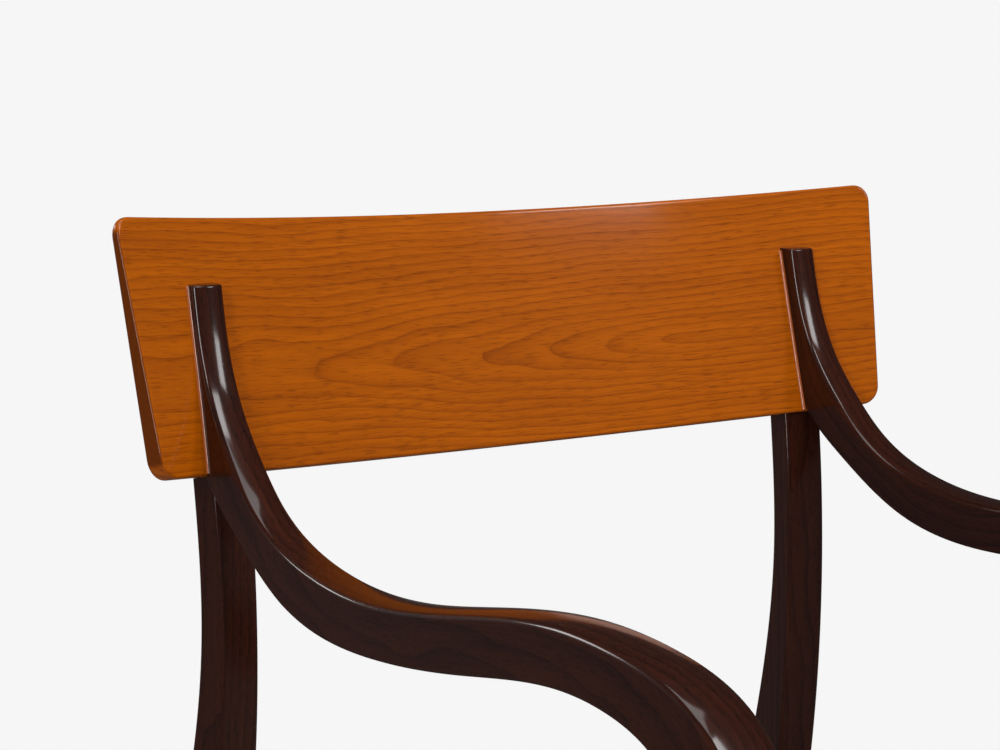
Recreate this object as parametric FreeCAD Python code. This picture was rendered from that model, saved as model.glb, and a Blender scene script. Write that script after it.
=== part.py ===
import FreeCAD, Part
import math
import os
from FreeCAD import Vector

# Klismos armchair: curved walnut back panel, mahogany legs, rails and arms, drop-in seat.
# Millimetres. While it is built, X = 0 is the middle of the chair, Y = 0 is the middle of
# the back panel's lower front edge with +Y to the rear, and Z = 0 is the floor.

# Back panel
panel_top_width = 610.0        # measured along the curve
panel_bottom_width = 580.0
panel_height = 151.0           # measured up the slope
panel_radius = 975.0           # of the concave front face
panel_recline = 12.4           # degrees from upright
panel_bottom_height = 698.0    # lower front edge above the floor, at the middle
panel_bottom_thickness = 13.0
panel_top_thickness = 5.0
panel_corner_radius = 12.0
panel_edge_round = 1.8

# Rear legs, each sawn from one board from the floor to the panel
rear_leg_thickness = 28.6
rear_leg_inset = 12.0          # seat frame's side to the board's middle, where it is most forward
rear_leg_toe = 9.0             # degrees that the board turns outwards to the rear
rear_leg_top_setback = 1.85    # panel's front face to the leg's front edge, where they meet
rear_leg_bow_height = 598.0    # of the most forward point of the front edge
rear_leg_upper_radius = 880.0
rear_leg_lower_radius = 2200.0
rear_leg_top_depth = 18.5
rear_leg_bow_depth = 20.0
rear_leg_neck_depth = 29.0
rear_leg_seat_depth = 41.0
rear_leg_shin_depth = 34.0
rear_leg_foot_depth = 27.0
leg_edge_round = 2.0

# Seat frame
rail_top = 430.0
rail_height = 58.0
rail_thickness = 26.0
frame_outer_half = 241.0       # outer face of the side rails and the front legs
frame_depth = 438.0            # front of the front legs to the front of the rear legs
front_rail_setback = 3.0
rear_rail_setback = 13.0       # rear legs' front edge at the rail top to the rear rail's face
rebate_lip = 12.0              # what stays of a rail's top outside the seat
rebate_depth = 18.0
rail_edge_round = 1.5

# Front legs
front_leg_thickness = 30.0
front_leg_radius = 1250.0
front_leg_top_depth = 42.0
front_leg_shin_depth = 31.0
front_leg_foot_depth = 26.0

# Tenons
tenon_thickness = 9.0
tenon_length = 18.0
tenon_bottom_shoulder = 8.0
tenon_top_gap = 4.0            # below the rebate
panel_tenon_width = 18.0
panel_tenon_thickness = 5.5
panel_tenon_length = 28.0

# Arms, measured from the back panel: forwards, and up or down from the panel's lower edge
arm_top_height = 112.0
arm_top_reach = 13.0
arm_dip = 40.0
arm_rise = 24.0
arm_knuckle_reach = 108.0      # knuckle's front beyond the foot's front
arm_knuckle_drop = 105.0
arm_dip_depth = 29.0
arm_rise_depth = 30.0
arm_knuckle_depth = 35.0
arm_foot_depth = 38.0
arm_foot_leg_lap = 1.2         # how far the foot's front laps over the front leg's side
arm_foot_end_gap = 6.0         # foot's lower end above the rail's lower edge
arm_inset = 13.5               # seat frame's side to the arm's inner face at the panel
arm_width = 21.0               # at the panel
arm_inner_flare = 0.038
arm_outer_flare = 0.069
arm_foot_thinning = 7.0
arm_foot_lap = 3.0             # how far the foot's inner side laps over the side rail
arm_crown_share = 0.08         # rise of the rounded top over the arm's width
arm_crease_round = 2.4
arm_under_round = 1.5

# Drop-in seat
seat_gap = 2.0                 # to the lip round it
seat_board_thickness = 12.0
cover_thickness = 1.5
seat_crown_height = 38.0       # top of the crown above the rail tops
seat_crown_radius = 2300.0
seat_edge_round = 10.0
seat_corner_round = 14.0
seat_draw_in = 4.0             # how far the padded sides pull in towards the top
dust_cover_thickness = 0.8
dust_cover_margin = 22.0
stile_notch_gap = 3.0

# Corner blocks, screws and glides
block_leg = 62.0
block_height = 30.0
block_drop = 1.0               # below the rebate
screw_shank = 4.2
screw_head = 8.0
screw_head_height = 3.0
screw_recess = 1.0
block_screw_length = 40.0
seat_screw_length = 38.0
arm_foot_screw_length = 39.0
arm_foot_screw_pitch = 20.0
arm_top_screw_bite = 9.0
arm_top_screw_slants = (34.0, 88.0)
plug_diameter = 10.0
plug_depth = 2.6
glide_height = 4.0
glide_diameter = 20.0
glide_nail = 3.0
glide_nail_length = 14.0

# Planes and places that several pieces share
recline = math.radians(panel_recline)
rail_bottom = rail_top - rail_height
rebate_floor = rail_top - rebate_depth
rail_inner_half = frame_outer_half - rail_thickness
tenon_bottom = rail_bottom + tenon_bottom_shoulder
tenon_top = rebate_floor - tenon_top_gap
side_rail_middle = frame_outer_half - rail_thickness / 2
front_leg_inner = frame_outer_half - front_leg_thickness
rear_leg_spread = frame_outer_half - rear_leg_inset
arm_inner_start = frame_outer_half - arm_inset
arm_outer_start = arm_inner_start + arm_width


def box(x0, x1, y0, y1, z0, z1):
    """Box between two corners, given in any order along each axis."""
    size = (abs(x1 - x0), abs(y1 - y0), abs(z1 - z0))
    return Part.makeBox(*size, Vector(min(x0, x1), min(y0, y1), min(z0, z1)))


def mirrored(shape):
    """The same piece on the other side of the chair."""
    return shape.mirror(Vector(0, 0, 0), Vector(1, 0, 0))


def spline(points):
    """Smooth curve through points."""
    curve = Part.BSplineCurve()
    curve.interpolate(points)
    return curve


def board(outline_edges, thickness, middle):
    """Planar outline in the YZ plane, given its thickness along X about a middle plane."""
    face = Part.Face(Part.Wire(Part.__sortEdges__(outline_edges)))
    solid = face.extrude(Vector(thickness, 0, 0))
    solid.translate(Vector(middle - thickness / 2, 0, 0))
    return solid


def rounded_long_edges(solid, radius, shortest):
    """Round every edge that is longer than a given length."""
    edges = [edge for edge in solid.Edges if edge.Length > shortest]
    return solid.makeFillet(radius, edges)


# Back panel: places on its front face

def panel_point(along, slant, depth=0.0):
    """Point at an arc length from the middle, a height up the slope and a depth behind."""
    turn = along / panel_radius
    radius = panel_radius + depth
    forwards = panel_radius - radius * math.cos(turn)
    y = slant * math.sin(recline) - forwards * math.cos(recline)
    z = panel_bottom_height + slant * math.cos(recline) + forwards * math.sin(recline)
    return Vector(radius * math.sin(turn), y, z)


def panel_normal(along):
    """Direction straight back through the panel."""
    return (panel_point(along, 0, 1) - panel_point(along, 0, 0)).normalize()


def tilted_cylinder(radius, tilt, start, length):
    """Cylinder about a leaning axis that lies in front of the sitter's side of the panel."""
    lean = math.radians(tilt)
    axis = Vector(0, math.sin(lean), math.cos(lean))
    forward = Vector(0, -math.cos(lean), math.sin(lean))
    foot = Vector(0, 0, panel_bottom_height) + forward * panel_radius + axis * start
    cylinder = Part.makeCylinder(radius, length, foot, axis)
    cylinder.rotate(foot, axis, 90)
    return cylinder


panel_taper = math.degrees(math.atan((panel_bottom_thickness - panel_top_thickness) / panel_height))
slope = Vector(0, math.sin(recline), math.cos(recline))


def panel_thickness(slant):
    """Thickness of the panel at a height up its slope."""
    drop = panel_bottom_thickness - panel_top_thickness
    return panel_bottom_thickness - drop * slant / panel_height


def beyond(point, direction):
    """Everything past a plane, as a tool to cut with."""
    reach = 2 * panel_top_width
    face = Part.makePlane(reach, reach, Vector(0, 0, 0), Vector(0, 0, 1))
    face.translate(Vector(-reach / 2, -reach / 2, 0))
    face.Placement = FreeCAD.Placement(point, FreeCAD.Rotation(Vector(0, 0, 1), direction)).multiply(
        face.Placement)
    return face.extrude(direction * reach)


def panel_blank():
    """Curved board that thins towards its top, with straight slanting ends square to its face."""
    front = tilted_cylinder(panel_radius, panel_recline, -panel_height, 3 * panel_height)
    back_radius = panel_radius + panel_bottom_thickness
    back = tilted_cylinder(back_radius, panel_recline - panel_taper, -panel_height, 3 * panel_height)
    solid = back.cut(front)
    low = panel_point(panel_bottom_width / 2, 0)
    high = panel_point(panel_top_width / 2, panel_height)
    through = panel_normal((panel_bottom_width + panel_top_width) / 4)
    outward = (high - low).cross(through).normalize()
    outward = outward if outward.x > 0 else outward * -1
    end = beyond(low, outward)
    solid = solid.cut([beyond(panel_point(0, 0), slope * -1), beyond(panel_point(0, panel_height), slope),
                       end, mirrored(end)])
    return max(solid.Solids, key=lambda piece: piece.CenterOfMass.y)


def panel_rounded(blank):
    """Four rounded corners, then a small round along both faces."""
    ends = []
    for edge in blank.Edges:
        first, last = edge.Vertexes[0].Point, edge.Vertexes[-1].Point
        near_side = min(abs(first.x), abs(last.x)) > panel_bottom_width / 3
        if near_side and edge.Length < 2 * panel_bottom_thickness:
            ends.append(edge)
    cornered = blank.makeFillet(panel_corner_radius, ends)
    broad = sorted(cornered.Faces, key=lambda face: face.Area)[-2:]
    rims = [edge for face in broad for edge in face.Edges]
    return cornered.makeFillet(panel_edge_round, rims)


# Rear leg: the curve of its front edge. Its most forward point is placed so that the leg's top
# meets the panel.
top_angle = math.asin((rear_leg_bow_height - panel_bottom_height) / rear_leg_upper_radius)
rear_leg_front = (panel_point(rear_leg_spread, 0).y + rear_leg_top_setback
                  - rear_leg_upper_radius * (1 - math.cos(top_angle)))
below_glides = box(-panel_top_width, panel_top_width, -panel_top_width, panel_top_width,
                   -panel_corner_radius, glide_height)


def bow_angle(height):
    """Slope of the front edge, in radians from upright, at a height above the rail top."""
    return math.asin((rear_leg_bow_height - height) / rear_leg_upper_radius)


def leg_front(height):
    """Y of the rear leg's front edge: one arc above the rail top, a flatter one below it."""
    upper = max(height, rail_top)
    y = rear_leg_front + rear_leg_upper_radius * (1 - math.cos(bow_angle(upper)))
    if height < rail_top:
        start = bow_angle(rail_top)
        end = math.asin(math.sin(start) + (rail_top - height) / rear_leg_lower_radius)
        y += rear_leg_lower_radius * (math.cos(start) - math.cos(end))
    return y


def rear_leg_blank():
    """Sabre-shaped board that runs on past the panel's lower edge, cut level at the glide."""
    high = panel_bottom_height + panel_corner_radius
    low = -glide_height
    seat_middle = rail_top - rail_height / 2
    neck = (rear_leg_bow_height + rail_top) / 2
    depths = ((high, rear_leg_top_depth), (rear_leg_bow_height, rear_leg_bow_depth),
              (neck, rear_leg_neck_depth), (seat_middle, rear_leg_seat_depth),
              (seat_middle / 2, rear_leg_shin_depth), (low, rear_leg_foot_depth))
    back_line = [Vector(0, leg_front(height) + depth, height) for height, depth in depths]
    knee = Vector(0, leg_front(rail_top), rail_top)
    top = Vector(0, leg_front(high), high)
    foot = Vector(0, leg_front(low), low)
    upper_middle = Vector(0, leg_front((high + rail_top) / 2), (high + rail_top) / 2)
    lower_middle = Vector(0, leg_front((low + rail_top) / 2), (low + rail_top) / 2)
    edges = [Part.Arc(top, upper_middle, knee).toShape(), Part.Arc(knee, lower_middle, foot).toShape(),
             Part.LineSegment(foot, back_line[-1]).toShape(), spline(back_line).toShape(),
             Part.LineSegment(back_line[0], top).toShape()]
    leg = board(edges, rear_leg_thickness, rear_leg_spread)
    leg = rounded_long_edges(leg, leg_edge_round, 3 * rail_height)
    leg.rotate(Vector(rear_leg_spread, rear_leg_front, 0), Vector(0, 0, 1), -rear_leg_toe)
    return leg.cut(below_glides)


# The panel's lower plane: all that lies above it, as a tool
above = Part.makeBox(4 * panel_top_width, panel_top_width, panel_top_width,
                     Vector(-2 * panel_top_width, -panel_top_width / 2, 0))
above.rotate(Vector(0, 0, 0), Vector(1, 0, 0), -panel_recline)
above.translate(Vector(0, 0, panel_bottom_height))


def panel_tenon(overlap):
    """Tenon at the top of the right rear leg, in the middle of the panel's thickness."""
    middle_depth = panel_thickness(panel_tenon_length / 2) / 2
    base = panel_point(rear_leg_spread, -overlap, middle_depth)
    back = panel_normal(rear_leg_spread)
    across = slope.cross(back).normalize()
    half_w = panel_tenon_width / 2
    half_t = panel_tenon_thickness / 2
    ring = [base + across * (sx * half_w) + back * (sy * half_t)
            for sx, sy in ((-1, -1), (1, -1), (1, 1), (-1, 1))]
    face = Part.Face(Part.makePolygon(ring + [ring[0]]))
    return face.extrude(slope * (overlap + panel_tenon_length))


# Seat frame
leg_front_at_rail = leg_front(rail_top)
frame_front = leg_front_at_rail - frame_depth
front_leg_back = frame_front + front_leg_top_depth
front_rail_front = frame_front + front_rail_setback
rear_rail_front = leg_front_at_rail + rear_rail_setback


def front_leg_line(height):
    """Y of the front leg's front edge: upright at the rail top, swept forwards below."""
    drop = rail_top - height
    return frame_front - front_leg_radius + math.sqrt(front_leg_radius ** 2 - drop ** 2)


def front_leg_blank():
    """Sabre leg that sweeps forwards and tapers to the floor."""
    low = -glide_height
    middle = (low + rail_bottom) / 2
    heights = [rail_top + (low - rail_top) * step / 5 for step in range(6)]
    front = [Vector(0, front_leg_line(height), height) for height in heights]
    shoulder = Vector(0, front_leg_back, rail_top)
    knee = Vector(0, front_leg_back, rail_bottom)
    shin = Vector(0, front_leg_line(middle) + front_leg_shin_depth, middle)
    heel = Vector(0, front[-1].y + front_leg_foot_depth, low)
    back = Part.BSplineCurve()
    back.interpolate([knee, shin, heel], InitialTangent=Vector(0, 0, -1),
                     FinalTangent=Vector(0, -math.sin(rail_top / front_leg_radius), -1))
    edges = [spline(front).toShape(), Part.LineSegment(front[-1], heel).toShape(),
             back.toShape(), Part.LineSegment(knee, shoulder).toShape(),
             Part.LineSegment(shoulder, front[0]).toShape()]
    leg = board(edges, front_leg_thickness, frame_outer_half - front_leg_thickness / 2)
    return rounded_long_edges(leg, leg_edge_round, 3 * rail_height).cut(below_glides)


rear_leg_plain = rear_leg_blank().cut(above)
front_leg_plain = front_leg_blank()
both_rear_legs = rear_leg_plain.fuse(mirrored(rear_leg_plain))

# Tenons on the right, from each rail's end into the leg
side_tenon_front = box(side_rail_middle - tenon_thickness / 2, side_rail_middle + tenon_thickness / 2,
                       front_leg_back - tenon_length, front_leg_back + 1, tenon_bottom, tenon_top)
side_tenon_rear = box(side_rail_middle - tenon_thickness / 2, side_rail_middle + tenon_thickness / 2,
                      leg_front_at_rail - tenon_length / 2, leg_front_at_rail + tenon_length,
                      tenon_bottom, tenon_top)
front_rail_middle = front_rail_front + rail_thickness / 2
front_tenon = box(front_leg_inner - 1, front_leg_inner + tenon_length,
                  front_rail_middle - tenon_thickness, front_rail_middle, tenon_bottom, tenon_top)
rear_rail_middle = rear_rail_front + rail_thickness / 2
rear_tenon = box(rail_inner_half - tenon_length, rail_inner_half + tenon_length,
                 rear_rail_middle - tenon_thickness / 2, rear_rail_middle + tenon_thickness / 2,
                 tenon_bottom, tenon_top)

# The seat's pocket: its rebate in the rails and in the tops of the front legs
pocket_half = frame_outer_half - rebate_lip
pocket_front = front_rail_front + rebate_lip
pocket_rear = rear_rail_front + rail_thickness - rebate_lip
pocket = box(-pocket_half, pocket_half, pocket_front, pocket_rear, rebate_floor, rail_top + 1)


def rounded_lower_edge(body, point):
    """Ease the lower outer edge of a rail, the one that a point lies on."""
    edges = [edge for edge in body.Edges if edge.distToShape(Part.Vertex(point))[0] < 0.1]
    return body.makeFillet(rail_edge_round, edges)


def side_rail():
    """Right side rail with its tenons and rebate, scribed to the rear leg's front edge."""
    body = box(rail_inner_half, frame_outer_half, front_leg_back, leg_front_at_rail + rail_thickness,
               rail_bottom, rail_top)
    body = rounded_lower_edge(body, Vector(frame_outer_half, frame_front + frame_depth / 2, rail_bottom))
    behind = box(rail_inner_half - rail_thickness, frame_outer_half + rail_thickness,
                 leg_front_at_rail + rail_thickness / 4, leg_front_at_rail + 2 * rail_thickness,
                 rail_bottom - 1, rail_top + 1)
    body = body.cut(rear_leg_plain).cut(pocket)
    body = max(body.Solids, key=lambda solid: solid.Volume)
    body = body.cut(behind)
    return body.fuse([side_tenon_front, side_tenon_rear]).removeSplitter()


def cross_rail(front_face, outer_face, tenon, legs):
    """Rail across the chair with a tenon at both ends, fitted between a pair of legs."""
    body = box(-frame_outer_half, frame_outer_half, front_face, front_face + rail_thickness,
               rail_bottom, rail_top)
    body = rounded_lower_edge(body, Vector(0, outer_face, rail_bottom))
    body = body.cut(legs).cut(pocket)
    body = min(body.Solids, key=lambda solid: abs(solid.CenterOfMass.x))
    return body.fuse([tenon, mirrored(tenon)]).removeSplitter()


front_leg_gap_fill = box(front_leg_inner, frame_outer_half, frame_front, front_leg_back,
                         rail_bottom, rail_top)
both_front_legs = front_leg_gap_fill.fuse(mirrored(front_leg_gap_fill))

side_rail_right = side_rail()
front_rail = cross_rail(front_rail_front, front_rail_front, front_tenon, both_front_legs)
rear_rail = cross_rail(rear_rail_front, rear_rail_front + rail_thickness, rear_tenon, both_rear_legs)
front_leg_right = front_leg_plain.cut(pocket).cut(side_tenon_front).cut(front_tenon)
rear_leg_tenon = panel_tenon(4.0)
rear_leg_right = rear_leg_plain.fuse(rear_leg_tenon).cut(side_tenon_rear).cut(rear_tenon)


# Arm: an S-shaped board whose top edge is crowned. Its foot stands against the front leg's back.
arm_foot_front = arm_foot_leg_lap - front_leg_back
arm_foot_back = arm_foot_front - arm_foot_depth
arm_reach = arm_foot_front + arm_knuckle_reach


def arm_lines():
    """Upper and under outline of the arm, as matched points from its top to its foot."""
    dip_under = arm_dip + arm_dip_depth
    rise_under = arm_rise + arm_rise_depth
    front_under = arm_reach - arm_knuckle_depth
    foot_front = arm_foot_front
    foot_back = arm_foot_back
    shoulder = panel_bottom_height - rail_top
    foot_end = shoulder + rail_height - arm_foot_end_gap
    neck = (arm_knuckle_drop + shoulder) / 2
    upper = [(arm_top_reach, arm_top_height), (0.040 * arm_reach, 0.71 * arm_top_height),
             (0.067 * arm_reach, 0.41 * arm_top_height), (0.108 * arm_reach, 0.15 * arm_top_height),
             (0.156 * arm_reach, -0.20 * arm_dip), (0.283 * arm_reach, -0.88 * arm_dip),
             (0.422 * arm_reach, -arm_dip), (0.559 * arm_reach, -0.80 * arm_dip),
             (0.698 * arm_reach, -arm_rise), (0.834 * arm_reach, -1.22 * arm_rise),
             (0.950 * arm_reach, -2.25 * arm_rise), (arm_reach, -arm_knuckle_drop),
             (0.5 * (arm_reach + foot_front) + 0.32 * arm_foot_depth, -neck),
             (foot_front + 0.16 * arm_foot_depth, -shoulder + 0.58 * arm_foot_depth),
             (foot_front, -shoulder - 0.10 * arm_foot_depth), (foot_front, -foot_end)]
    under = [(-0.46 * arm_top_reach, arm_top_height + 0.23 * arm_top_reach),
             (0.002 * arm_reach, 0.68 * arm_top_height), (0.020 * arm_reach, 0.36 * arm_top_height),
             (0.060 * arm_reach, 0.03 * arm_top_height), (0.112 * arm_reach, -0.29 * dip_under),
             (0.222 * arm_reach, -0.80 * dip_under), (0.415 * arm_reach, -dip_under),
             (0.570 * arm_reach, -0.90 * dip_under), (0.717 * arm_reach, -rise_under),
             (0.808 * arm_reach, -1.07 * rise_under), (0.893 * arm_reach, -1.42 * rise_under),
             (front_under, -arm_knuckle_drop - 0.14 * arm_knuckle_depth),
             (0.5 * (front_under + foot_back) + 0.26 * arm_foot_depth, -neck + 0.42 * arm_foot_depth),
             (foot_back + 0.26 * arm_foot_depth, -shoulder + 0.90 * arm_foot_depth),
             (foot_back + 0.03 * arm_foot_depth, -shoulder - 0.05 * arm_foot_depth),
             (foot_back, -foot_end)]
    return upper, under


def arm_section(top, under, foot_share):
    """Rounded section between an upper and an under point, crowned on its upper side."""
    reach = -0.5 * (top.y + under.y)
    inner = arm_inner_start + arm_inner_flare * reach
    inner -= foot_share * (inner - frame_outer_half + arm_foot_lap)
    outer = arm_outer_start + arm_outer_flare * reach - arm_foot_thinning * foot_share
    rise = (top - under).normalize()
    depth = (top - under).Length
    middle = (inner + outer) / 2
    half = (outer - inner) / 2
    crown = arm_crown_share * 2 * half
    shoulder = depth + crown * (1 - ((half - arm_crease_round) / half) ** 2)
    soft = arm_under_round
    bend = 1 - math.sqrt(0.5)

    def at(x, height):
        return Vector(x, under.y, under.z) + rise * height

    def side(sign):
        face = middle + sign * half
        return [at(face - sign * soft, 0), at(face - sign * soft * bend, soft * bend), at(face, soft),
                at(face, depth - arm_crease_round),
                at(face - sign * arm_crease_round * bend, depth - arm_crease_round * bend + crown * bend / 2),
                at(face - sign * arm_crease_round, shoulder)]

    a = side(-1)
    b = side(1)
    edges = [Part.LineSegment(a[0], b[0]), Part.Arc(b[0], b[1], b[2]), Part.LineSegment(b[2], b[3]),
             Part.Arc(b[3], b[4], b[5]), Part.Arc(b[5], at(middle, depth + crown), a[5]),
             Part.Arc(a[5], a[4], a[3]), Part.LineSegment(a[3], a[2]), Part.Arc(a[2], a[1], a[0])]
    return Part.Wire([edge.toShape() for edge in edges])


def arm_blank():
    """Loft through a section at each pair of points of the arm's two outlines."""
    upper, under = arm_lines()
    foot_starts = len(upper) - 5
    sections = []
    for index, (top, low) in enumerate(zip(upper, under)):
        foot_share = max(0, index - foot_starts) / 4
        sections.append(arm_section(Vector(0, -top[0], panel_bottom_height + top[1]),
                                    Vector(0, -low[0], panel_bottom_height + low[1]), foot_share))
    return Part.makeLoft(sections, True, False)


panel_reach = box(-panel_top_width, panel_top_width, -panel_radius / 4, panel_radius / 4,
                  panel_bottom_height - 1, panel_bottom_height + 2 * panel_height)
panel_front_side = tilted_cylinder(panel_radius, panel_recline, -panel_height, 3 * panel_height)
behind_panel_face = panel_reach.common(above).cut(panel_front_side)
rail_side = box(0, frame_outer_half, -2 * frame_depth, 0, rail_bottom - 1, rail_top)
arm_plain = arm_blank().cut(behind_panel_face).cut(rail_side)

# Screws, plugs and their holes

def screw(start, direction, length):
    """Countersunk wood screw from its head's face inwards, without its thread."""
    radius = screw_shank / 2
    outline = [Vector(0, 0, 0), Vector(screw_head / 2, 0, 0), Vector(radius, 0, screw_head_height),
               Vector(radius, 0, length - 2 * radius), Vector(0, 0, length)]
    face = Part.Face(Part.makePolygon(outline + [outline[0]]))
    solid = face.revolve(Vector(0, 0, 0), Vector(0, 0, 1), 360)
    solid.Placement = FreeCAD.Placement(start, FreeCAD.Rotation(Vector(0, 0, 1), direction))
    return solid


arm_middle = (arm_inner_start + arm_outer_start) / 2
panel_back = panel_normal(arm_middle)
arm_top_screws = []
arm_top_plugs = []
plug_holes = []
for slant in arm_top_screw_slants:
    thickness = panel_thickness(slant)
    head = panel_point(arm_middle, slant, thickness - plug_depth)
    screw_length = thickness - plug_depth + arm_top_screw_bite
    arm_top_screws.append(screw(head, panel_back * -1, screw_length))
    hole = Part.makeCylinder(plug_diameter / 2, plug_depth + 4, head, panel_back)
    plug_holes.append(hole)

arm_foot_y = -(arm_foot_front + arm_foot_back) / 2
arm_foot_screws = []
arm_foot_holes = []
for step in (-0.5, 0.5):
    height = (tenon_bottom + tenon_top) / 2 + step * arm_foot_screw_pitch
    head = Vector(rail_inner_half + screw_recess, arm_foot_y, height)
    arm_foot_screws.append(screw(head, Vector(1, 0, 0), arm_foot_screw_length))
    arm_foot_holes.append(Part.makeCylinder(screw_head / 2, 2 * screw_recess,
                                            Vector(rail_inner_half - screw_recess, arm_foot_y, height),
                                            Vector(1, 0, 0)))

arm_right = arm_plain.cut(arm_top_screws).cut(arm_foot_screws)
side_rail_right = side_rail_right.cut(arm_foot_screws).cut(arm_foot_holes)

panel_plain = panel_rounded(panel_blank())
for hole in plug_holes:
    arm_top_plugs.append(hole.common(panel_plain))
right_cuts = plug_holes + arm_top_screws + [rear_leg_tenon]
left_cuts = [mirrored(shape) for shape in right_cuts]
back_panel = panel_plain.cut(right_cuts + left_cuts)


# Corner blocks under the seat

def block(corner_x, corner_y, toward, leg):
    """Three-cornered block in a corner of the frame, notched round the leg."""
    top = rebate_floor - block_drop
    ring = [Vector(corner_x, corner_y, top), Vector(corner_x, corner_y + toward * block_leg, top),
            Vector(corner_x - block_leg, corner_y, top)]
    face = Part.Face(Part.makePolygon(ring + [ring[0]]))
    solid = face.extrude(Vector(0, 0, -block_height)).cut(leg)
    return max(solid.Solids, key=lambda piece: piece.Volume)


front_corner_y = front_rail_front + rail_thickness
block_middle = rebate_floor - block_drop - block_height / 2
blocks = {}
block_screws = []
seat_screws = []
for name, corner_y, toward, leg in (("front", front_corner_y, 1, front_leg_plain),
                                    ("rear", rear_rail_front, -1, rear_leg_plain)):
    piece = block(rail_inner_half, corner_y, toward, leg)
    inwards = Vector(-1, toward, 0).normalize()
    face_middle = Vector(rail_inner_half - block_leg / 2, corner_y + toward * block_leg / 2, block_middle)
    drills = []
    for side, aim in ((1, Vector(1, 0, 0)), (-1, Vector(0, -toward, 0))):
        along = Vector(1, toward, 0).normalize() * (side * block_leg / 4)
        head = face_middle + along - inwards * screw_recess
        drills.append(screw(head, aim, block_screw_length))
    seat_head = face_middle - inwards * (block_leg / 6)
    seat_head.z = rebate_floor - block_drop - block_height + screw_recess
    seat_screw = screw(seat_head, Vector(0, 0, 1), seat_screw_length)
    holes = []
    for drill in drills + [seat_screw]:
        start = drill.Placement.Base
        axis = drill.Placement.Rotation.multVec(Vector(0, 0, 1))
        holes.append(Part.makeCylinder(screw_head / 2, 2 * screw_head, start - axis * (2 * screw_head), axis))
    blocks[name] = piece.cut(drills + [seat_screw] + holes)
    block_screws += drills
    seat_screws.append(seat_screw)

all_block_screws = block_screws + [mirrored(drill) for drill in block_screws]
side_rail_right = side_rail_right.cut(block_screws)
front_rail = front_rail.cut(all_block_screws)
rear_rail = rear_rail.cut(all_block_screws)
rear_leg_right = rear_leg_right.cut(block_screws)


# Drop-in seat: plywood board, foam, cover and dust cover
seat_half = pocket_half - seat_gap
seat_front = pocket_front + seat_gap
seat_rear = pocket_rear - seat_gap
board_top = rebate_floor + seat_board_thickness


def seat_ring(inset, height):
    """Rounded rectangle of the seat's plan at a height, drawn in by an inset."""
    x = seat_half - inset
    y0 = seat_front + inset
    y1 = seat_rear - inset
    radius = seat_corner_round
    bend = radius * (1 - math.sqrt(0.5))
    edges = []
    corners = ((x, y0, 1, -1), (x, y1, 1, 1), (-x, y1, -1, 1), (-x, y0, -1, -1))
    arcs = []
    for cx, cy, sx, sy in corners:
        along_x = Vector(cx - sx * radius, cy, height)
        along_y = Vector(cx, cy - sy * radius, height)
        bulge = Vector(cx - sx * bend, cy - sy * bend, height)
        ends = (along_x, bulge, along_y) if sx * sy < 0 else (along_y, bulge, along_x)
        arcs.append(ends)
    for index, ends in enumerate(arcs):
        edges.append(Part.Arc(*ends).toShape())
        following = arcs[(index + 1) % 4]
        edges.append(Part.LineSegment(ends[2], following[0]).toShape())
    return Part.Wire(edges)


def padded_body(inset, bottom):
    """Crowned pad: sides that draw in towards the top, and a domed top with rounded edges."""
    crown_top = rail_top + seat_crown_height - inset
    widest = rail_top + seat_crown_height / 8
    rings = [seat_ring(inset + 1.0, bottom), seat_ring(inset, widest),
             seat_ring(inset + seat_draw_in, crown_top + 1)]
    body = Part.makeLoft(rings, True, False)
    middle_y = (seat_front + seat_rear) / 2
    dome = Part.makeSphere(seat_crown_radius, Vector(0, middle_y, crown_top - seat_crown_radius))
    body = body.common(dome)
    rim = [edge for edge in body.Edges if edge.BoundBox.ZMin > widest]
    body = body.makeFillet(seat_edge_round - inset, rim)
    notch = box(rail_inner_half - 2 * stile_notch_gap - inset, frame_outer_half,
                leg_front_at_rail - 2 * stile_notch_gap - inset, seat_rear + 1, bottom - 1, crown_top + 1)
    return body.cut([notch, mirrored(notch)])


def flat_sheet(inset, bottom, thickness):
    """Flat piece of the seat's plan, notched round the rear legs."""
    sheet = Part.Face(seat_ring(inset, bottom)).extrude(Vector(0, 0, thickness))
    notch = box(rail_inner_half - 2 * stile_notch_gap - inset, frame_outer_half,
                leg_front_at_rail - 2 * stile_notch_gap - inset, seat_rear + 1,
                bottom - 1, bottom + thickness + 1)
    return sheet.cut([notch, mirrored(notch)])


seat_board = flat_sheet(cover_thickness + 1.2, rebate_floor, seat_board_thickness)
seat_foam = padded_body(cover_thickness, board_top)
seat_cover = padded_body(0.0, rebate_floor).cut(seat_foam).cut(seat_board)
seat_cover = max(seat_cover.Solids, key=lambda solid: solid.Volume)
dust_cover = flat_sheet(dust_cover_margin, rebate_floor - dust_cover_thickness, dust_cover_thickness)
both_seat_screws = seat_screws + [mirrored(drill) for drill in seat_screws]
seat_board = seat_board.cut(both_seat_screws)
seat_foam = seat_foam.cut(both_seat_screws)
dust_cover = dust_cover.cut(both_seat_screws)


# Glides under the four feet

def nail(x, y):
    """Nail of a glide, driven up into the foot."""
    return Part.makeCylinder(glide_nail / 2, glide_nail_length, Vector(x, y, glide_height))


def glide(x, y):
    """Domed steel glide with its nail."""
    disc = Part.makeCylinder(glide_diameter / 2, glide_height, Vector(x, y, 0))
    rim = [edge for edge in disc.Edges if edge.BoundBox.ZMax < glide_height / 2 and edge.Closed]
    disc = disc.makeFillet(glide_height * 0.6, rim)
    return disc.fuse(nail(x, y)).removeSplitter()


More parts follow.
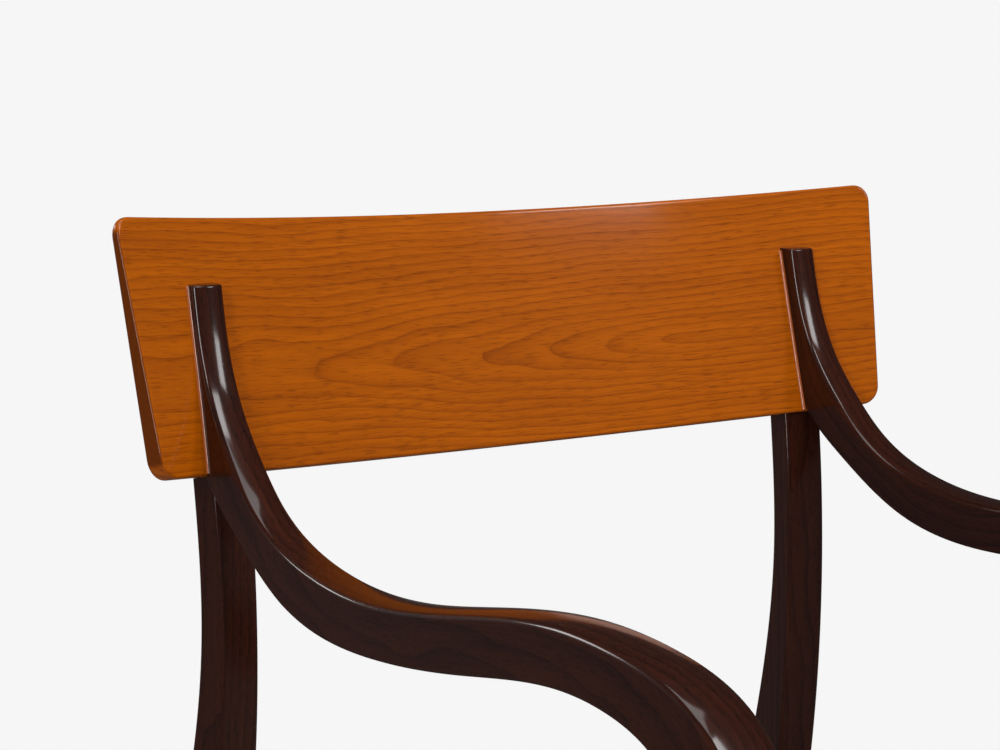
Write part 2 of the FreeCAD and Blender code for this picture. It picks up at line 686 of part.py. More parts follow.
rear_foot = rear_leg_plain.common(box(0, 2 * frame_outer_half, -frame_depth, frame_depth,
                                      glide_height, glide_height + 1)).Solids[0].CenterOfMass
front_foot_y = front_leg_line(glide_height) + front_leg_foot_depth / 2
front_foot_x = frame_outer_half - front_leg_thickness / 2
glides = [glide(rear_foot.x, rear_foot.y), glide(front_foot_x, front_foot_y)]
rear_leg_right = rear_leg_right.cut(nail(rear_foot.x, rear_foot.y))
front_leg_right = front_leg_right.cut(nail(front_foot_x, front_foot_y))

# Every node, with the left-hand pieces mirrored from the right
nodes = {
    "back_panel": [back_panel],
    "rear_leg_right": [rear_leg_right],
    "rear_leg_left": [mirrored(rear_leg_right)],
    "front_leg_right": [front_leg_right],
    "front_leg_left": [mirrored(front_leg_right)],
    "arm_right": [arm_right],
    "arm_left": [mirrored(arm_right)],
    "side_rail_right": [side_rail_right],
    "side_rail_left": [mirrored(side_rail_right)],
    "front_rail": [front_rail],
    "rear_rail": [rear_rail],
    "corner_block_front_right": [blocks["front"]],
    "corner_block_front_left": [mirrored(blocks["front"])],
    "corner_block_rear_right": [blocks["rear"]],
    "corner_block_rear_left": [mirrored(blocks["rear"])],
    "corner_block_screws": all_block_screws,
    "seat_board": [seat_board],
    "seat_foam": [seat_foam],
    "seat_cover": [seat_cover],
    "seat_dust_cover": [dust_cover],
    "seat_screws": both_seat_screws,
    "arm_top_screws": arm_top_screws + [mirrored(drill) for drill in arm_top_screws],
    "arm_top_plugs": arm_top_plugs + [mirrored(plug) for plug in arm_top_plugs],
    "arm_foot_screws": arm_foot_screws + [mirrored(drill) for drill in arm_foot_screws],
    "foot_glides": glides + [mirrored(foot) for foot in glides],
}

# The origin goes to the floor under the middle of the whole chair
whole = Part.makeCompound([solid for solids in nodes.values() for solid in solids])
whole = whole.optimalBoundingBox(True, False)
to_origin = Vector(0, -(whole.YMin + whole.YMax) / 2, 0)

os.makedirs("parts", exist_ok=True)
for name, solids in nodes.items():
    shape = solids[0] if len(solids) == 1 else Part.makeCompound(solids)
    shape.translate(to_origin)
    shape.exportStep("parts/" + name + ".step")
    print(name, len(shape.Solids), round(shape.Volume), shape.isValid())
print("overall", round(whole.XLength, 1), round(whole.YLength, 1), round(whole.ZLength, 1))
print("moved along Y by", round(to_origin.y, 3))
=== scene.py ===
import bpy
import math
import numpy as np
from mathutils import Matrix, Vector


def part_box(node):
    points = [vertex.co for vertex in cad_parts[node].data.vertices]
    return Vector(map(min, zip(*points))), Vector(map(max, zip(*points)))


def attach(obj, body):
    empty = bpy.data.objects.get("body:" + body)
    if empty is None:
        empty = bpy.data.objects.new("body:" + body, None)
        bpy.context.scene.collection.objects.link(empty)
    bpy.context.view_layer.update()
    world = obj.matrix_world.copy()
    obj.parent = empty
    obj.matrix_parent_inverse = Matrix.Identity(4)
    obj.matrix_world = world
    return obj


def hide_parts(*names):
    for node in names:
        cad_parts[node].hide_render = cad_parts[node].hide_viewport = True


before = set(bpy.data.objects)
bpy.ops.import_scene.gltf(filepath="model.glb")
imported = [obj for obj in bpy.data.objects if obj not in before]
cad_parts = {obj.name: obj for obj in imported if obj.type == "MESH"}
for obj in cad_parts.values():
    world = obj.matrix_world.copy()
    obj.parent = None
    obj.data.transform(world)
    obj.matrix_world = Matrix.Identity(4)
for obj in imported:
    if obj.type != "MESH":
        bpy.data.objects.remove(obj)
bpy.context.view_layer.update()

# Back panel. One wide board of walnut, bent to a gentle curve and thinned towards its top, with
# small rounded corners and eased edges. Its grain was laid across the chair, so the arched
# figure lies on its side, and the open pores still show as fine dashes under a clear gloss lacquer.
panel_radius = 0.975
panel_recline = math.radians(12.4)
panel_bottom_height = 0.698
panel_height = 0.151
panel_half_bottom = 0.290
panel_half_top = 0.305
panel_bottom_thickness = 0.013
panel_top_thickness = 0.005
panel_corner = 0.012
panel_ease = 0.0018
support = 0.0006
end_grain_depth, end_grain_blend = 0.0012, 0.0010


def panel_thickness(slant):
    """Thickness at a slope, falling evenly from the lower edge to the top."""
    return panel_bottom_thickness - (panel_bottom_thickness - panel_top_thickness) * slant / panel_height


def panel_half_width(slant):
    """Half the width at a slope, growing evenly from the lower edge to the top."""
    return panel_half_bottom + (panel_half_top - panel_half_bottom) * slant / panel_height


def panel_place(along, slant, depth):
    """Point on the bent board: the arc length turns about an axis in front of the face, and the
    slope then leans that arc back. Depth is measured away from the axis."""
    turn = along / panel_radius
    radius = panel_radius + depth
    forwards = panel_radius - radius * np.cos(turn)
    return np.stack([radius * np.sin(turn),
                     slant * math.sin(panel_recline) - forwards * math.cos(panel_recline),
                     panel_bottom_height + slant * math.cos(panel_recline)
                     + forwards * math.sin(panel_recline)], -1)


def panel_sheet(inset, columns=161, middle_rows=21, corner_rows=9):
    """Rows and columns over the board's face, as arc length and slope. Rows crowd where the
    corners turn: each is as wide as the slanting ends allow, less the corner's quarter circle."""
    corner = panel_corner - inset
    turn = np.linspace(0, math.pi / 2, corner_rows)
    low = inset + corner * (1 - np.cos(turn))
    notch = corner * (1 - np.sin(turn))
    middle = np.linspace(inset + corner, panel_height - inset - corner, middle_rows)[1:-1]
    slant = np.concatenate([low, middle, (panel_height - low)[::-1]])
    cut = np.concatenate([notch, np.zeros(len(middle)), notch[::-1]])
    half = panel_half_width(slant) - inset - cut
    across = np.linspace(-1, 1, columns)
    return half[:, None] * across, np.repeat(slant[:, None], columns, 1)


def rim_of(sheet):
    """The outermost places of a grid, once round: first row, last column, last row back, first
    column down."""
    return np.concatenate([sheet[0, :], sheet[1:, -1], sheet[-1, -2::-1], sheet[-2:0:-1, 0]])


def make_piece(name, points, faces, grain, replaced, material, ends=None):
    """Mesh object from points and faces, with the wood's own coordinates kept as an attribute:
    first along the board, then across it, then through it. A second attribute marks end grain."""
    mesh = bpy.data.meshes.new(name)
    mesh.from_pydata(points.tolist(), [], faces)
    field = mesh.attributes.new("grain", "FLOAT_VECTOR", "POINT")
    field.data.foreach_set("vector", grain.astype(np.float32).ravel())
    if ends is not None:
        field = mesh.attributes.new("end_grain", "FLOAT", "POINT")
        field.data.foreach_set("value", ends.astype(np.float32))
    mesh.shade_smooth()
    mesh.set_sharp_from_angle(angle=math.radians(32))
    piece = bpy.data.objects.new(name, mesh)
    bpy.context.scene.collection.objects.link(piece)
    mesh.materials.append(material)
    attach(piece, "root")
    if replaced:
        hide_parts(*replaced)


def new_material(name):
    """Empty node material with an output and one Principled shader."""
    material = bpy.data.materials.new(name)
    material.use_nodes = True
    tree = material.node_tree
    shader = tree.nodes["Principled BSDF"]
    return material, tree, shader


def add_node(tree, kind, inputs=None, **settings):
    """One node with its settings and the values or links of its inputs."""
    node = tree.nodes.new(kind)
    for key, value in settings.items():
        setattr(node, key, value)
    for key, value in (inputs or {}).items():
        socket = node.inputs[key]
        if isinstance(value, bpy.types.NodeSocket):
            tree.links.new(value, socket)
        else:
            socket.default_value = value
    return node


def add_math(tree, operation, *values, clamp=False):
    """Output of one Math node."""
    node = add_node(tree, "ShaderNodeMath", dict(enumerate(values)), operation=operation)
    node.use_clamp = clamp
    return node.outputs[0]


def stretched_noise(tree, vector, sizes, detail=2.0, roughness=0.5):
    """Noise from 0 to 1, read on a vector whose three axes are multiplied by the sizes."""
    place = add_node(tree, "ShaderNodeVectorMath", {0: vector, 1: sizes}, operation="MULTIPLY")
    noise = add_node(tree, "ShaderNodeTexNoise", {"Vector": place.outputs[0], "Scale": 1.0,
                                                  "Detail": detail, "Roughness": roughness})
    return noise.outputs["Fac"]


def wood_group():
    """Shader node group for sawn and lacquered wood. Growth rings are distances from a pith that
    runs at a slight slope under the board, and level beyond the figure's end. Slow noise bends
    them, and each ring darkens slowly towards a thin late-wood line. Pores are noise drawn out
    along the board, thresholded to dashes. All outputs are masks from 0 to 1."""
    tree = bpy.data.node_groups.new("sawn wood", "ShaderNodeTree")
    face = tree.interface
    for name, kind, value in (("Grain", "NodeSocketVector", (0, 0, 0)),
                              ("Pith Across", "NodeSocketFloat", 0.05),
                              ("Pith Depth", "NodeSocketFloat", 0.03),
                              ("Pith Slope", "NodeSocketFloat", 0.1),
                              ("Figure End", "NodeSocketFloat", -100.0),
                              ("Ring Width", "NodeSocketFloat", 0.008),
                              ("Waviness", "NodeSocketFloat", 0.004),
                              ("Pore Length", "NodeSocketFloat", 0.012),
                              ("Pore Amount", "NodeSocketFloat", 0.5)):
        socket = face.new_socket(name, in_out="INPUT", socket_type=kind)
        socket.default_value = value
    for name in ("Ring", "Line", "Pores", "Shade", "Streak"):
        face.new_socket(name, in_out="OUTPUT", socket_type="NodeSocketFloat")
    enter = tree.nodes.new("NodeGroupInput")
    leave = tree.nodes.new("NodeGroupOutput")
    grain = enter.outputs["Grain"]
    bend = stretched_noise(tree, grain, (9.0, 26.0, 26.0), roughness=0.45)
    wobble = stretched_noise(tree, grain, (40.0, 160.0, 160.0))
    axes = add_node(tree, "ShaderNodeSeparateXYZ", {0: grain})
    across = add_math(tree, "SUBTRACT", axes.outputs[1], enter.outputs["Pith Across"])
    sloping = add_math(tree, "SMOOTH_MAX", axes.outputs[0], enter.outputs["Figure End"], 0.03)
    sunk = add_math(tree, "MULTIPLY_ADD", sloping, enter.outputs["Pith Slope"],
                    enter.outputs["Pith Depth"])
    depth = add_math(tree, "ADD", sunk, axes.outputs[2])
    bent = add_math(tree, "SUBTRACT", bend, 0.5)
    shift = add_math(tree, "MULTIPLY", bent, enter.outputs["Waviness"])
    far = add_math(tree, "SQRT", add_math(tree, "ADD", add_math(tree, "MULTIPLY", across, across),
                                         add_math(tree, "MULTIPLY", depth, depth)))
    fine = add_math(tree, "MULTIPLY", add_math(tree, "SUBTRACT", wobble, 0.5), 0.0007)
    radius = add_math(tree, "ADD", add_math(tree, "MULTIPLY_ADD", shift, 4.0, far), fine)
    rings = add_math(tree, "DIVIDE", radius, enter.outputs["Ring Width"])
    phase = add_math(tree, "FRACT", rings)
    late = add_math(tree, "POWER", phase, 3.0)
    line = add_math(tree, "POWER", phase, 16.0)
    early = add_math(tree, "SUBTRACT", 1.0, add_math(tree, "MULTIPLY", phase, 12.0), clamp=True)
    line = add_math(tree, "MAXIMUM", line, early)
    # one ring is bolder than the next: its number picks a strength, and slow noise fades it in places
    number = add_math(tree, "FLOOR", rings)
    strength = add_node(tree, "ShaderNodeTexWhiteNoise", {"W": number}, noise_dimensions="1D")
    faint = add_math(tree, "MULTIPLY_ADD", strength.outputs["Value"], 0.75, 0.25)
    fade = add_node(tree, "ShaderNodeMapRange", {"Value": wobble, "From Min": 0.3, "From Max": 0.65,
                                                 "To Min": 0.35, "To Max": 1.0})
    line = add_math(tree, "MULTIPLY", line, add_math(tree, "MULTIPLY", faint, fade.outputs[0]))
    stretch = add_math(tree, "DIVIDE", 1.0, enter.outputs["Pore Length"])
    fibre = add_node(tree, "ShaderNodeCombineXYZ", {0: stretch, 1: 1150.0, 2: 1150.0})
    pores = stretched_noise(tree, grain, fibre.outputs[0], detail=1.0)
    crowd = stretched_noise(tree, grain, (11.0, 90.0, 90.0))
    gate = add_math(tree, "MULTIPLY_ADD", crowd, -0.20,
                    add_math(tree, "MULTIPLY_ADD", enter.outputs["Pore Amount"], -0.16, 0.79))
    dashes = add_node(tree, "ShaderNodeMapRange", {"Value": pores, "From Min": gate,
                                                   "From Max": add_math(tree, "ADD", gate, 0.09)})
    shade = stretched_noise(tree, grain, (5.0, 60.0, 60.0), detail=3.0, roughness=0.6)
    streak = stretched_noise(tree, grain, (14.0, 620.0, 620.0), detail=3.0, roughness=0.65)
    tree.links.new(late, leave.inputs["Ring"])
    tree.links.new(line, leave.inputs["Line"])
    tree.links.new(dashes.outputs[0], leave.inputs["Pores"])
    tree.links.new(shade, leave.inputs["Shade"])
    tree.links.new(streak, leave.inputs["Streak"])
    return tree


sawn_wood = wood_group()


def wood_material(name, colours, figure, darkening, roughness, coat, coat_roughness):
    """Lacquered wood. Colours run from light early wood to dark late wood; line, pore and shade
    darkening are shares of the colour taken off."""
    material, tree, shader = new_material(name)
    field = add_node(tree, "ShaderNodeAttribute", attribute_name="grain")
    wood = add_node(tree, "ShaderNodeGroup", node_tree=sawn_wood)
    tree.links.new(field.outputs["Vector"], wood.inputs["Grain"])
    for key, value in figure.items():
        wood.inputs[key].default_value = value
    blend = add_math(tree, "MULTIPLY_ADD", wood.outputs["Ring"], 0.28,
                     add_math(tree, "MULTIPLY_ADD", wood.outputs["Shade"], 0.55,
                              add_math(tree, "MULTIPLY", wood.outputs["Streak"], 0.45)))
    ramp = add_node(tree, "ShaderNodeValToRGB", {"Fac": blend})
    ramp.color_ramp.elements[0].position = 0.2
    ramp.color_ramp.elements[0].color = (*colours[0], 1)
    ramp.color_ramp.elements[1].position = 0.85
    ramp.color_ramp.elements[1].color = (*colours[2], 1)
    between = ramp.color_ramp.elements.new(0.45)
    between.color = (*colours[1], 1)
    taken = add_math(tree, "MULTIPLY", wood.outputs["Line"], darkening[0])
    pore = add_math(tree, "MULTIPLY", wood.outputs["Pores"], darkening[1])
    keep = add_math(tree, "MULTIPLY", add_math(tree, "SUBTRACT", 1.0, taken),
                    add_math(tree, "SUBTRACT", 1.0, pore))
    final = add_node(tree, "ShaderNodeMix", {"Factor": keep, "A": (*colours[3], 1),
                                             "B": ramp.outputs["Color"]}, data_type="RGBA")
    sawn = add_node(tree, "ShaderNodeAttribute", attribute_name="end_grain")
    shaded = add_node(tree, "ShaderNodeMix", {"Factor": add_math(tree, "MULTIPLY", sawn.outputs["Fac"], 0.88),
                                              "A": final.outputs["Result"], "B": (*colours[3], 1)},
                      data_type="RGBA")
    tree.links.new(shaded.outputs["Result"], shader.inputs["Base Color"])
    rough = add_node(tree, "ShaderNodeMapRange", {"Value": wood.outputs["Shade"], "From Min": 0.2,
                                                  "From Max": 0.8, "To Min": roughness - 0.05,
                                                  "To Max": roughness + 0.08})
    tree.links.new(rough.outputs[0], shader.inputs["Roughness"])
    raised = add_math(tree, "SUBTRACT", 1.0, wood.outputs["Pores"])
    dent = add_node(tree, "ShaderNodeBump", {"Strength": 0.12, "Distance": 0.0002, "Height": raised})
    tree.links.new(dent.outputs[0], shader.inputs["Normal"])
    shader.inputs["Specular IOR Level"].default_value = 0.04 if coat else 0.3
    shader.inputs["Coat Weight"].default_value = coat
    shader.inputs["Coat Roughness"].default_value = coat_roughness
    shader.inputs["Coat IOR"].default_value = 1.45
    return material


walnut = wood_material(
    "lacquered walnut",
    ((0.470, 0.110, 0.0005), (0.385, 0.084, 0.0004), (0.260, 0.052, 0.0003), (0.090, 0.016, 0.0004)),
    {"Pith Across": 0.058, "Pith Depth": 0.0184, "Pith Slope": -0.089, "Figure End": -0.138,
     "Ring Width": 0.005, "Waviness": 0.0030, "Pore Length": 0.014, "Pore Amount": 0.80},
    (0.42, 0.34), 0.42, 0.60, 0.09)

# the front face, the rings round its eased edge and round that of the back, and the back face
along, slant = panel_sheet(panel_ease + support)
loops = [(along, slant, 0 * slant)]
quarter = np.linspace(0, math.pi / 2, 6)
for turn, from_back in [(turn, False) for turn in quarter] + [(turn, True) for turn in quarter[::-1]]:
    wide, high = panel_sheet(panel_ease * (1 - math.sin(turn)))
    sunk = panel_ease * (1 - math.cos(turn)) + 0 * high
    loops.append((wide, high, panel_thickness(high) - sunk if from_back else sunk))
loops.append((along, slant, panel_thickness(slant)))
rows, columns = along.shape
number = np.arange(rows * columns).reshape(rows, columns)
front_rim = rim_of(number)
count = len(front_rim)
points = [panel_place(*loops[0]).reshape(-1, 3)]
grain = [np.stack(loops[0], -1).reshape(-1, 3)]
rims = [front_rim]
start = rows * columns
for loop in loops[1:-1]:
    ring = [rim_of(part) for part in loop]
    points.append(panel_place(*ring))
    grain.append(np.stack(ring, -1))
    rims.append(start + np.arange(count))
    start += count
points.append(panel_place(*loops[-1]).reshape(-1, 3))
grain.append(np.stack(loops[-1], -1).reshape(-1, 3))
rims.append(start + front_rim)
faces = np.stack([number[:-1, :-1], number[:-1, 1:], number[1:, 1:], number[1:, :-1]], -1).reshape(-1, 4)
all_faces = [faces, start + faces[:, ::-1]]
for inner, outer in zip(rims[:-1], rims[1:]):
    all_faces.append(np.stack([inner, outer, np.roll(outer, -1), np.roll(inner, -1)], -1))
panel_points = np.concatenate(points)
panel_grain = np.concatenate(grain)
inside_end = panel_half_width(panel_grain[:, 1]) - np.abs(panel_grain[:, 0])
ends = np.clip((end_grain_depth - inside_end) / end_grain_blend, 0, 1)
# the frame's own box says how far the whole chair was moved back to stand over its origin
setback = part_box("back_panel")[0].y - panel_points[:, 1].min()
shift = np.array([0.0, setback, 0.0])
make_piece("curved_back_panel", panel_points + shift, np.concatenate(all_faces).tolist(),
           panel_grain, ["back_panel"], walnut, ends)

# Rear legs. Each is sawn from one mahogany board in a long sabre curve, from the glide on the
# floor up to the panel's lower edge, where it is tenoned in. The boards stand turned outwards
# to the rear. Their long edges are eased, and a dark red-brown stain lies under a gloss polish.
rear_leg_thickness = 0.0286
rear_leg_spread = 0.229
rear_leg_toe = math.radians(-9)
rear_leg_front = -0.030
rear_leg_bow_height = 0.598
rail_top = 0.430
rail_height = 0.058
glide_height = 0.004
leg_ease = 0.002
stile_spare = 0.008
joint_line = 0.0004
mahogany = wood_material(
    "polished dark mahogany",
    ((0.056, 0.0135, 0.0060), (0.033, 0.0076, 0.0036), (0.016, 0.0038, 0.0022), (0.005, 0.0014, 0.0009)),
    {"Pith Across": 0.09, "Pith Depth": 0.06, "Pith Slope": 0.03, "Ring Width": 0.006, "Waviness": 0.004,
     "Pore Length": 0.006, "Pore Amount": 0.85}, (0.08, 0.40), 0.40, 0.85, 0.12)


def rounded_outline(corners, radii, steps=5):
    """Closed outlines with rounded corners, for all stations at once. At each corner the two edge
    directions carry a quarter turn from one tangent point to the other, and one more place just
    outside each keeps the flats flat. Corners: stations by corners by 2."""
    before = np.roll(corners, 1, 1) - corners
    after = np.roll(corners, -1, 1) - corners
    before /= np.linalg.norm(before, axis=2, keepdims=True)
    after /= np.linalg.norm(after, axis=2, keepdims=True)
    turn = np.linspace(0, math.pi / 2, steps)
    back = np.concatenate([[1.3], 1 - np.sin(turn), [0]])
    ahead = np.concatenate([[0], 1 - np.cos(turn), [1.3]])
    reach = np.broadcast_to(np.asarray(radii, float), corners.shape[:2])[:, :, None, None]
    places = (corners[:, :, None] + before[:, :, None] * reach * back[:, None]
              + after[:, :, None] * reach * ahead[:, None])
    return places.reshape(len(corners), -1, 2)


def skin(stations, points_round):
    """Faces of a tube: quads between neighbouring rings, and one flat face over each end."""
    row, place = np.meshgrid(np.arange(stations - 1), np.arange(points_round), indexing="ij")
    ahead = (place + 1) % points_round
    quads = np.stack([row * points_round + place, row * points_round + ahead,
                      (row + 1) * points_round + ahead, (row + 1) * points_round + place], -1)
    last = (stations - 1) * points_round
    return (quads.reshape(-1, 4).tolist()
            + [list(range(points_round))[::-1], list(range(last, last + points_round))])


def smooth_curve(knots, at):
    """Natural cubic spline through knots, with chord lengths as its parameter. It is read at knot
    numbers, whose fractions are shares of the chord. The second derivatives solve the usual
    three-term equations, one row for each knot."""
    knots = np.asarray(knots, float)
    chords = np.linalg.norm(np.diff(knots, axis=0), axis=1)
    size = len(knots)
    system = np.eye(size)
    right = np.zeros((size, knots.shape[1]))
    inner = np.arange(1, size - 1)
    system[inner, inner - 1] = chords[:-1]
    system[inner, inner] = 2 * (chords[:-1] + chords[1:])
    system[inner, inner + 1] = chords[1:]
    slopes = np.diff(knots, axis=0) / chords[:, None]
    right[inner] = 6 * np.diff(slopes, axis=0)
    curl = np.linalg.solve(system, right)
    index = np.clip(np.floor(at).astype(int), 0, size - 2)
    step = (at - index) * chords[index]
    rest = chords[index] - step
    span = chords[index][:, None]
    low, high = curl[index], curl[index + 1]
    return ((low * rest[:, None] ** 3 + high * step[:, None] ** 3) / (6 * span)
            + (knots[index] / span - low * span / 6) * rest[:, None]
            + (knots[index + 1] / span - high * span / 6) * step[:, None])


def rear_leg_line(height):
    """How far back the front edge lies: one arc above the rail top and a flatter one below it."""
    upper_radius, lower_radius = 0.880, 2.200
    upper = np.maximum(height, rail_top)
    swing = np.arcsin((rear_leg_bow_height - upper) / upper_radius)
    start = math.asin((rear_leg_bow_height - rail_top) / upper_radius)
    below = np.arcsin(math.sin(start) + np.maximum(rail_top - height, 0) / lower_radius)
    return (rear_leg_front + upper_radius * (1 - np.cos(swing))
            + lower_radius * (math.cos(start) - np.cos(below)))


def both_sides(name, points, faces, grain, replaced, material, grain_shift=0.37):
    """The right-hand piece, and its mirror image with its faces turned and other grain."""
    make_piece(name + "_right", points + shift, faces, grain, [replaced + "_right"], material)
    flipped = points * np.array([-1, 1, 1])
    make_piece(name + "_left", flipped + shift, [face[::-1] for face in faces],
               grain * np.array([1, -1, 1]) + np.array([grain_shift, 0.03, 0.011]),
               [replaced + "_left"], material)


height = np.linspace(glide_height, panel_bottom_height + stile_spare, 90)
depth_marks = np.array([-glide_height, 0.2005, 0.401, 0.514, rear_leg_bow_height, 0.710])
depth_sizes = np.array([0.027, 0.034, 0.041, 0.029, 0.020, 0.0185])
back_knots = np.stack([rear_leg_line(depth_marks) + depth_sizes, depth_marks], -1)
fine = smooth_curve(back_knots, np.linspace(0, len(back_knots) - 1, 400))
back_line = np.interp(height, fine[:, 1], fine[:, 0])
front_line = rear_leg_line(height)
half = np.full(len(height), rear_leg_thickness / 2)
corners = np.stack([np.stack(corner, -1) for corner in ((half, front_line), (half, back_line),
                                                        (-half, back_line), (-half, front_line))], 1)
outline = rounded_outline(corners, leg_ease)
x, y = outline[..., 0], outline[..., 1] - rear_leg_front
turned_x = rear_leg_spread + x * math.cos(rear_leg_toe) - y * math.sin(rear_leg_toe)
turned_y = rear_leg_front + x * math.sin(rear_leg_toe) + y * math.cos(rear_leg_toe)
level = np.repeat(height[:, None], outline.shape[1], 1)
# the top follows the panel's lower edge: heights above the bow are drawn to that sloping plane
plane = panel_bottom_height - turned_y * math.tan(panel_recline) + joint_line
share = np.clip((level - rear_leg_bow_height) / (height[-1] - rear_leg_bow_height), 0, 1)
level = level + share * (plane - height[-1])
leg_points = np.stack([turned_x, turned_y, level], -1).reshape(-1, 3)
leg_grain = np.stack([level, outline[..., 1], x], -1).reshape(-1, 3)
both_sides("sabre_rear_leg", leg_points, skin(*outline.shape[:2]), leg_grain, "rear_leg",
           mahogany)

# Front legs. Sabre legs too, but swept forwards: upright at the rails, then curving out and
# tapering to the floor. The top of each is rebated at its inner corner to take the seat.
front_leg_thickness = 0.030
front_leg_radius = 1.250
front_leg_depth = 0.042
front_foot_depth = 0.026
front_shin_depth = 0.031
frame_outer_half = 0.241
frame_depth = 0.438
leg_front_at_rail = float(rear_leg_line(np.array(rail_top)))
frame_front = leg_front_at_rail - frame_depth
front_leg_back = frame_front + front_leg_depth
rail_setback = 0.003
rebate_floor = rail_top - 0.018
rebate_lip = 0.012
rebate_ease = 0.0008
pocket_half = frame_outer_half - rebate_lip
pocket_front = frame_front + rail_setback + rebate_lip
notch_clear = 0.0002
notch_behind = 0.008


def front_leg_line(height):
    """Where the front edge lies: an arc that stands upright at the rail's top and bends forwards
    below it."""
    return frame_front - front_leg_radius + np.sqrt(front_leg_radius ** 2 - (rail_top - height) ** 2)


height = np.concatenate([np.linspace(glide_height, rebate_floor, 60),
                         [rebate_floor + 1e-6, rail_top - rebate_ease, rail_top]])
front_line = front_leg_line(height)
rail_bottom = rail_top - rail_height
middle = (rail_bottom - glide_height) / 2
back_knots = np.array([
    [front_leg_line(-glide_height) + front_foot_depth, -glide_height],
    [front_leg_line(middle) + front_shin_depth, middle],
    [front_leg_back, rail_bottom], [front_leg_back, rail_top - 0.02], [front_leg_back, rail_top]])
fine = smooth_curve(back_knots, np.linspace(0, len(back_knots) - 1, 400))
back_line = np.minimum(np.interp(height, fine[:, 1], fine[:, 0]), front_leg_back)
inner_x, outer_x = frame_outer_half - front_leg_thickness, frame_outer_half
ones = np.ones(len(height))
notched = (height > rebate_floor)[:, None]
plain_corner = np.stack([inner_x * ones, back_line], -1)
step_corner = np.stack([(pocket_half + notch_clear) * ones, (pocket_front - notch_clear) * ones], -1)
edge_start = np.stack([(pocket_half + notch_clear) * ones, back_line], -1)
edge_end = np.stack([inner_x * ones, np.minimum(pocket_front - notch_clear, back_line - notch_behind)], -1)
corners = np.stack([np.stack([outer_x * ones, front_line], -1), np.stack([outer_x * ones, back_line], -1),
                    edge_start, np.where(notched, step_corner, plain_corner), edge_end,
                    np.stack([inner_x * ones, front_line], -1)], 1)
radii = np.array([leg_ease, leg_ease, rebate_ease, rebate_ease, rebate_ease, leg_ease])[None] * ones[:, None]
radii[:, 3] = np.where(notched[:, 0], rebate_ease, leg_ease)
radii[-1] *= 0.6
outline = rounded_outline(corners, radii)
level = np.repeat(height[:, None], outline.shape[1], 1)
leg_points = np.stack([outline[..., 0], outline[..., 1], level], -1).reshape(-1, 3)
leg_grain = np.stack([level + 1.1, outline[..., 1], outline[..., 0]], -1).reshape(-1, 3)
both_sides("sabre_front_leg", leg_points, skin(*outline.shape[:2]), leg_grain, "front_leg",
           mahogany)

# Rails. Four straight mahogany rails join the legs with hidden tenons. Each is rebated along
# its upper inner edge, so that the seat drops in flush, and is lightly eased along its lower edge.
rail_thickness = 0.026
rear_rail_setback = 0.013
rear_rail_half = 0.2225
rail_ease = 0.0015
rail_small_ease = 0.0006
front_lap, rear_lap = 0.001, 0.008


def rail_points(outer, inward, start, end, along_x):
    """Rail section carried straight from start to end. The section is an L: full height at the
    outside, and a ledge at the rebate's floor on the inside."""
    lip = outer + inward * rebate_lip
    inside = outer + inward * rail_thickness
    corners = np.array([[outer, rail_bottom], [inside, rail_bottom], [inside, rebate_floor],
                        [lip, rebate_floor], [lip, rail_top], [outer, rail_top]])[None]
    if inward < 0:
        corners = corners[:, ::-1]
    outer_foot = np.isclose(corners[..., 0], outer) & np.isclose(corners[..., 1], rail_bottom)
    section = rounded_outline(corners, np.where(outer_foot, rail_ease, rail_small_ease))[0]
    far = np.array([start, end])[:, None] + 0 * section[:, 0]
    side = np.repeat(section[None, :, 0], 2, 0)
    tall = np.repeat(section[None, :, 1], 2, 0)
    points = np.stack([far, side, tall] if along_x else [side, far, tall], -1).reshape(-1, 3)
    grain = np.stack([far + 0.5, tall, side], -1).reshape(-1, 3)
    faces = skin(2, section.shape[0])
    turned = along_x != (inward < 0)
    return points, faces if turned else [face[::-1] for face in faces], grain


side_points, side_faces, side_grain = rail_points(frame_outer_half, -1, front_leg_back - front_lap,
                                                 leg_front_at_rail + rear_lap, False)
both_sides("seat_side_rail", side_points, side_faces, side_grain, "side_rail", mahogany)
rear_rail_back = leg_front_at_rail + rear_rail_setback + rail_thickness
for name, outer, inward, half_length in (("front_rail", frame_front + rail_setback, 1, inner_x + front_lap),
                                         ("rear_rail", rear_rail_back, -1, rear_rail_half)):
    points, faces, grain = rail_points(outer, inward, -half_length, half_length, True)
    make_piece("seat_" + name, points + shift, faces, grain + np.array([2.3 * inward, 0.02, 0]), [name],
               mahogany)

# Arms. Each is one S-shaped mahogany piece with a softly crowned top and nearly flat sides. Its
# upper end is cut square and scribed to the panel's curved face, and beyond the photographed part
# it curls down to a foot that is lapped over the side rail.
arm_top_height = 0.112
arm_dip = 0.040
arm_rise = 0.024
arm_reach = 0.519
arm_knuckle_drop = 0.105
arm_foot_reach = 0.392
arm_foot_depth = 0.038
arm_inner_start, arm_inner_flare = 0.2275, 0.038
arm_outer_start, arm_outer_flare = 0.2485, 0.069
arm_foot_thinning = 0.007
arm_foot_lap = 0.003
arm_crease = 0.0024
arm_under_ease = 0.0015
arm_crown_share = 0.08
arm_end_ease = 0.0009
arm_tip_front, arm_tip_back = 0.013, -0.006
arm_tip_proud = 0.0032
scribe_gap, lap_gap = 0.0003, 0.0002
dip_under = arm_dip + 0.029
rise_under = arm_rise + 0.030
arm_knuckle_depth = 0.035
front_under = arm_reach - arm_knuckle_depth
foot_front = arm_foot_reach + arm_foot_depth / 2
foot_back = arm_foot_reach - arm_foot_depth / 2
arm_shoulder = panel_bottom_height - rail_top
foot_end = arm_shoulder + rail_height - 0.006
neck = (arm_knuckle_drop + arm_shoulder) / 2
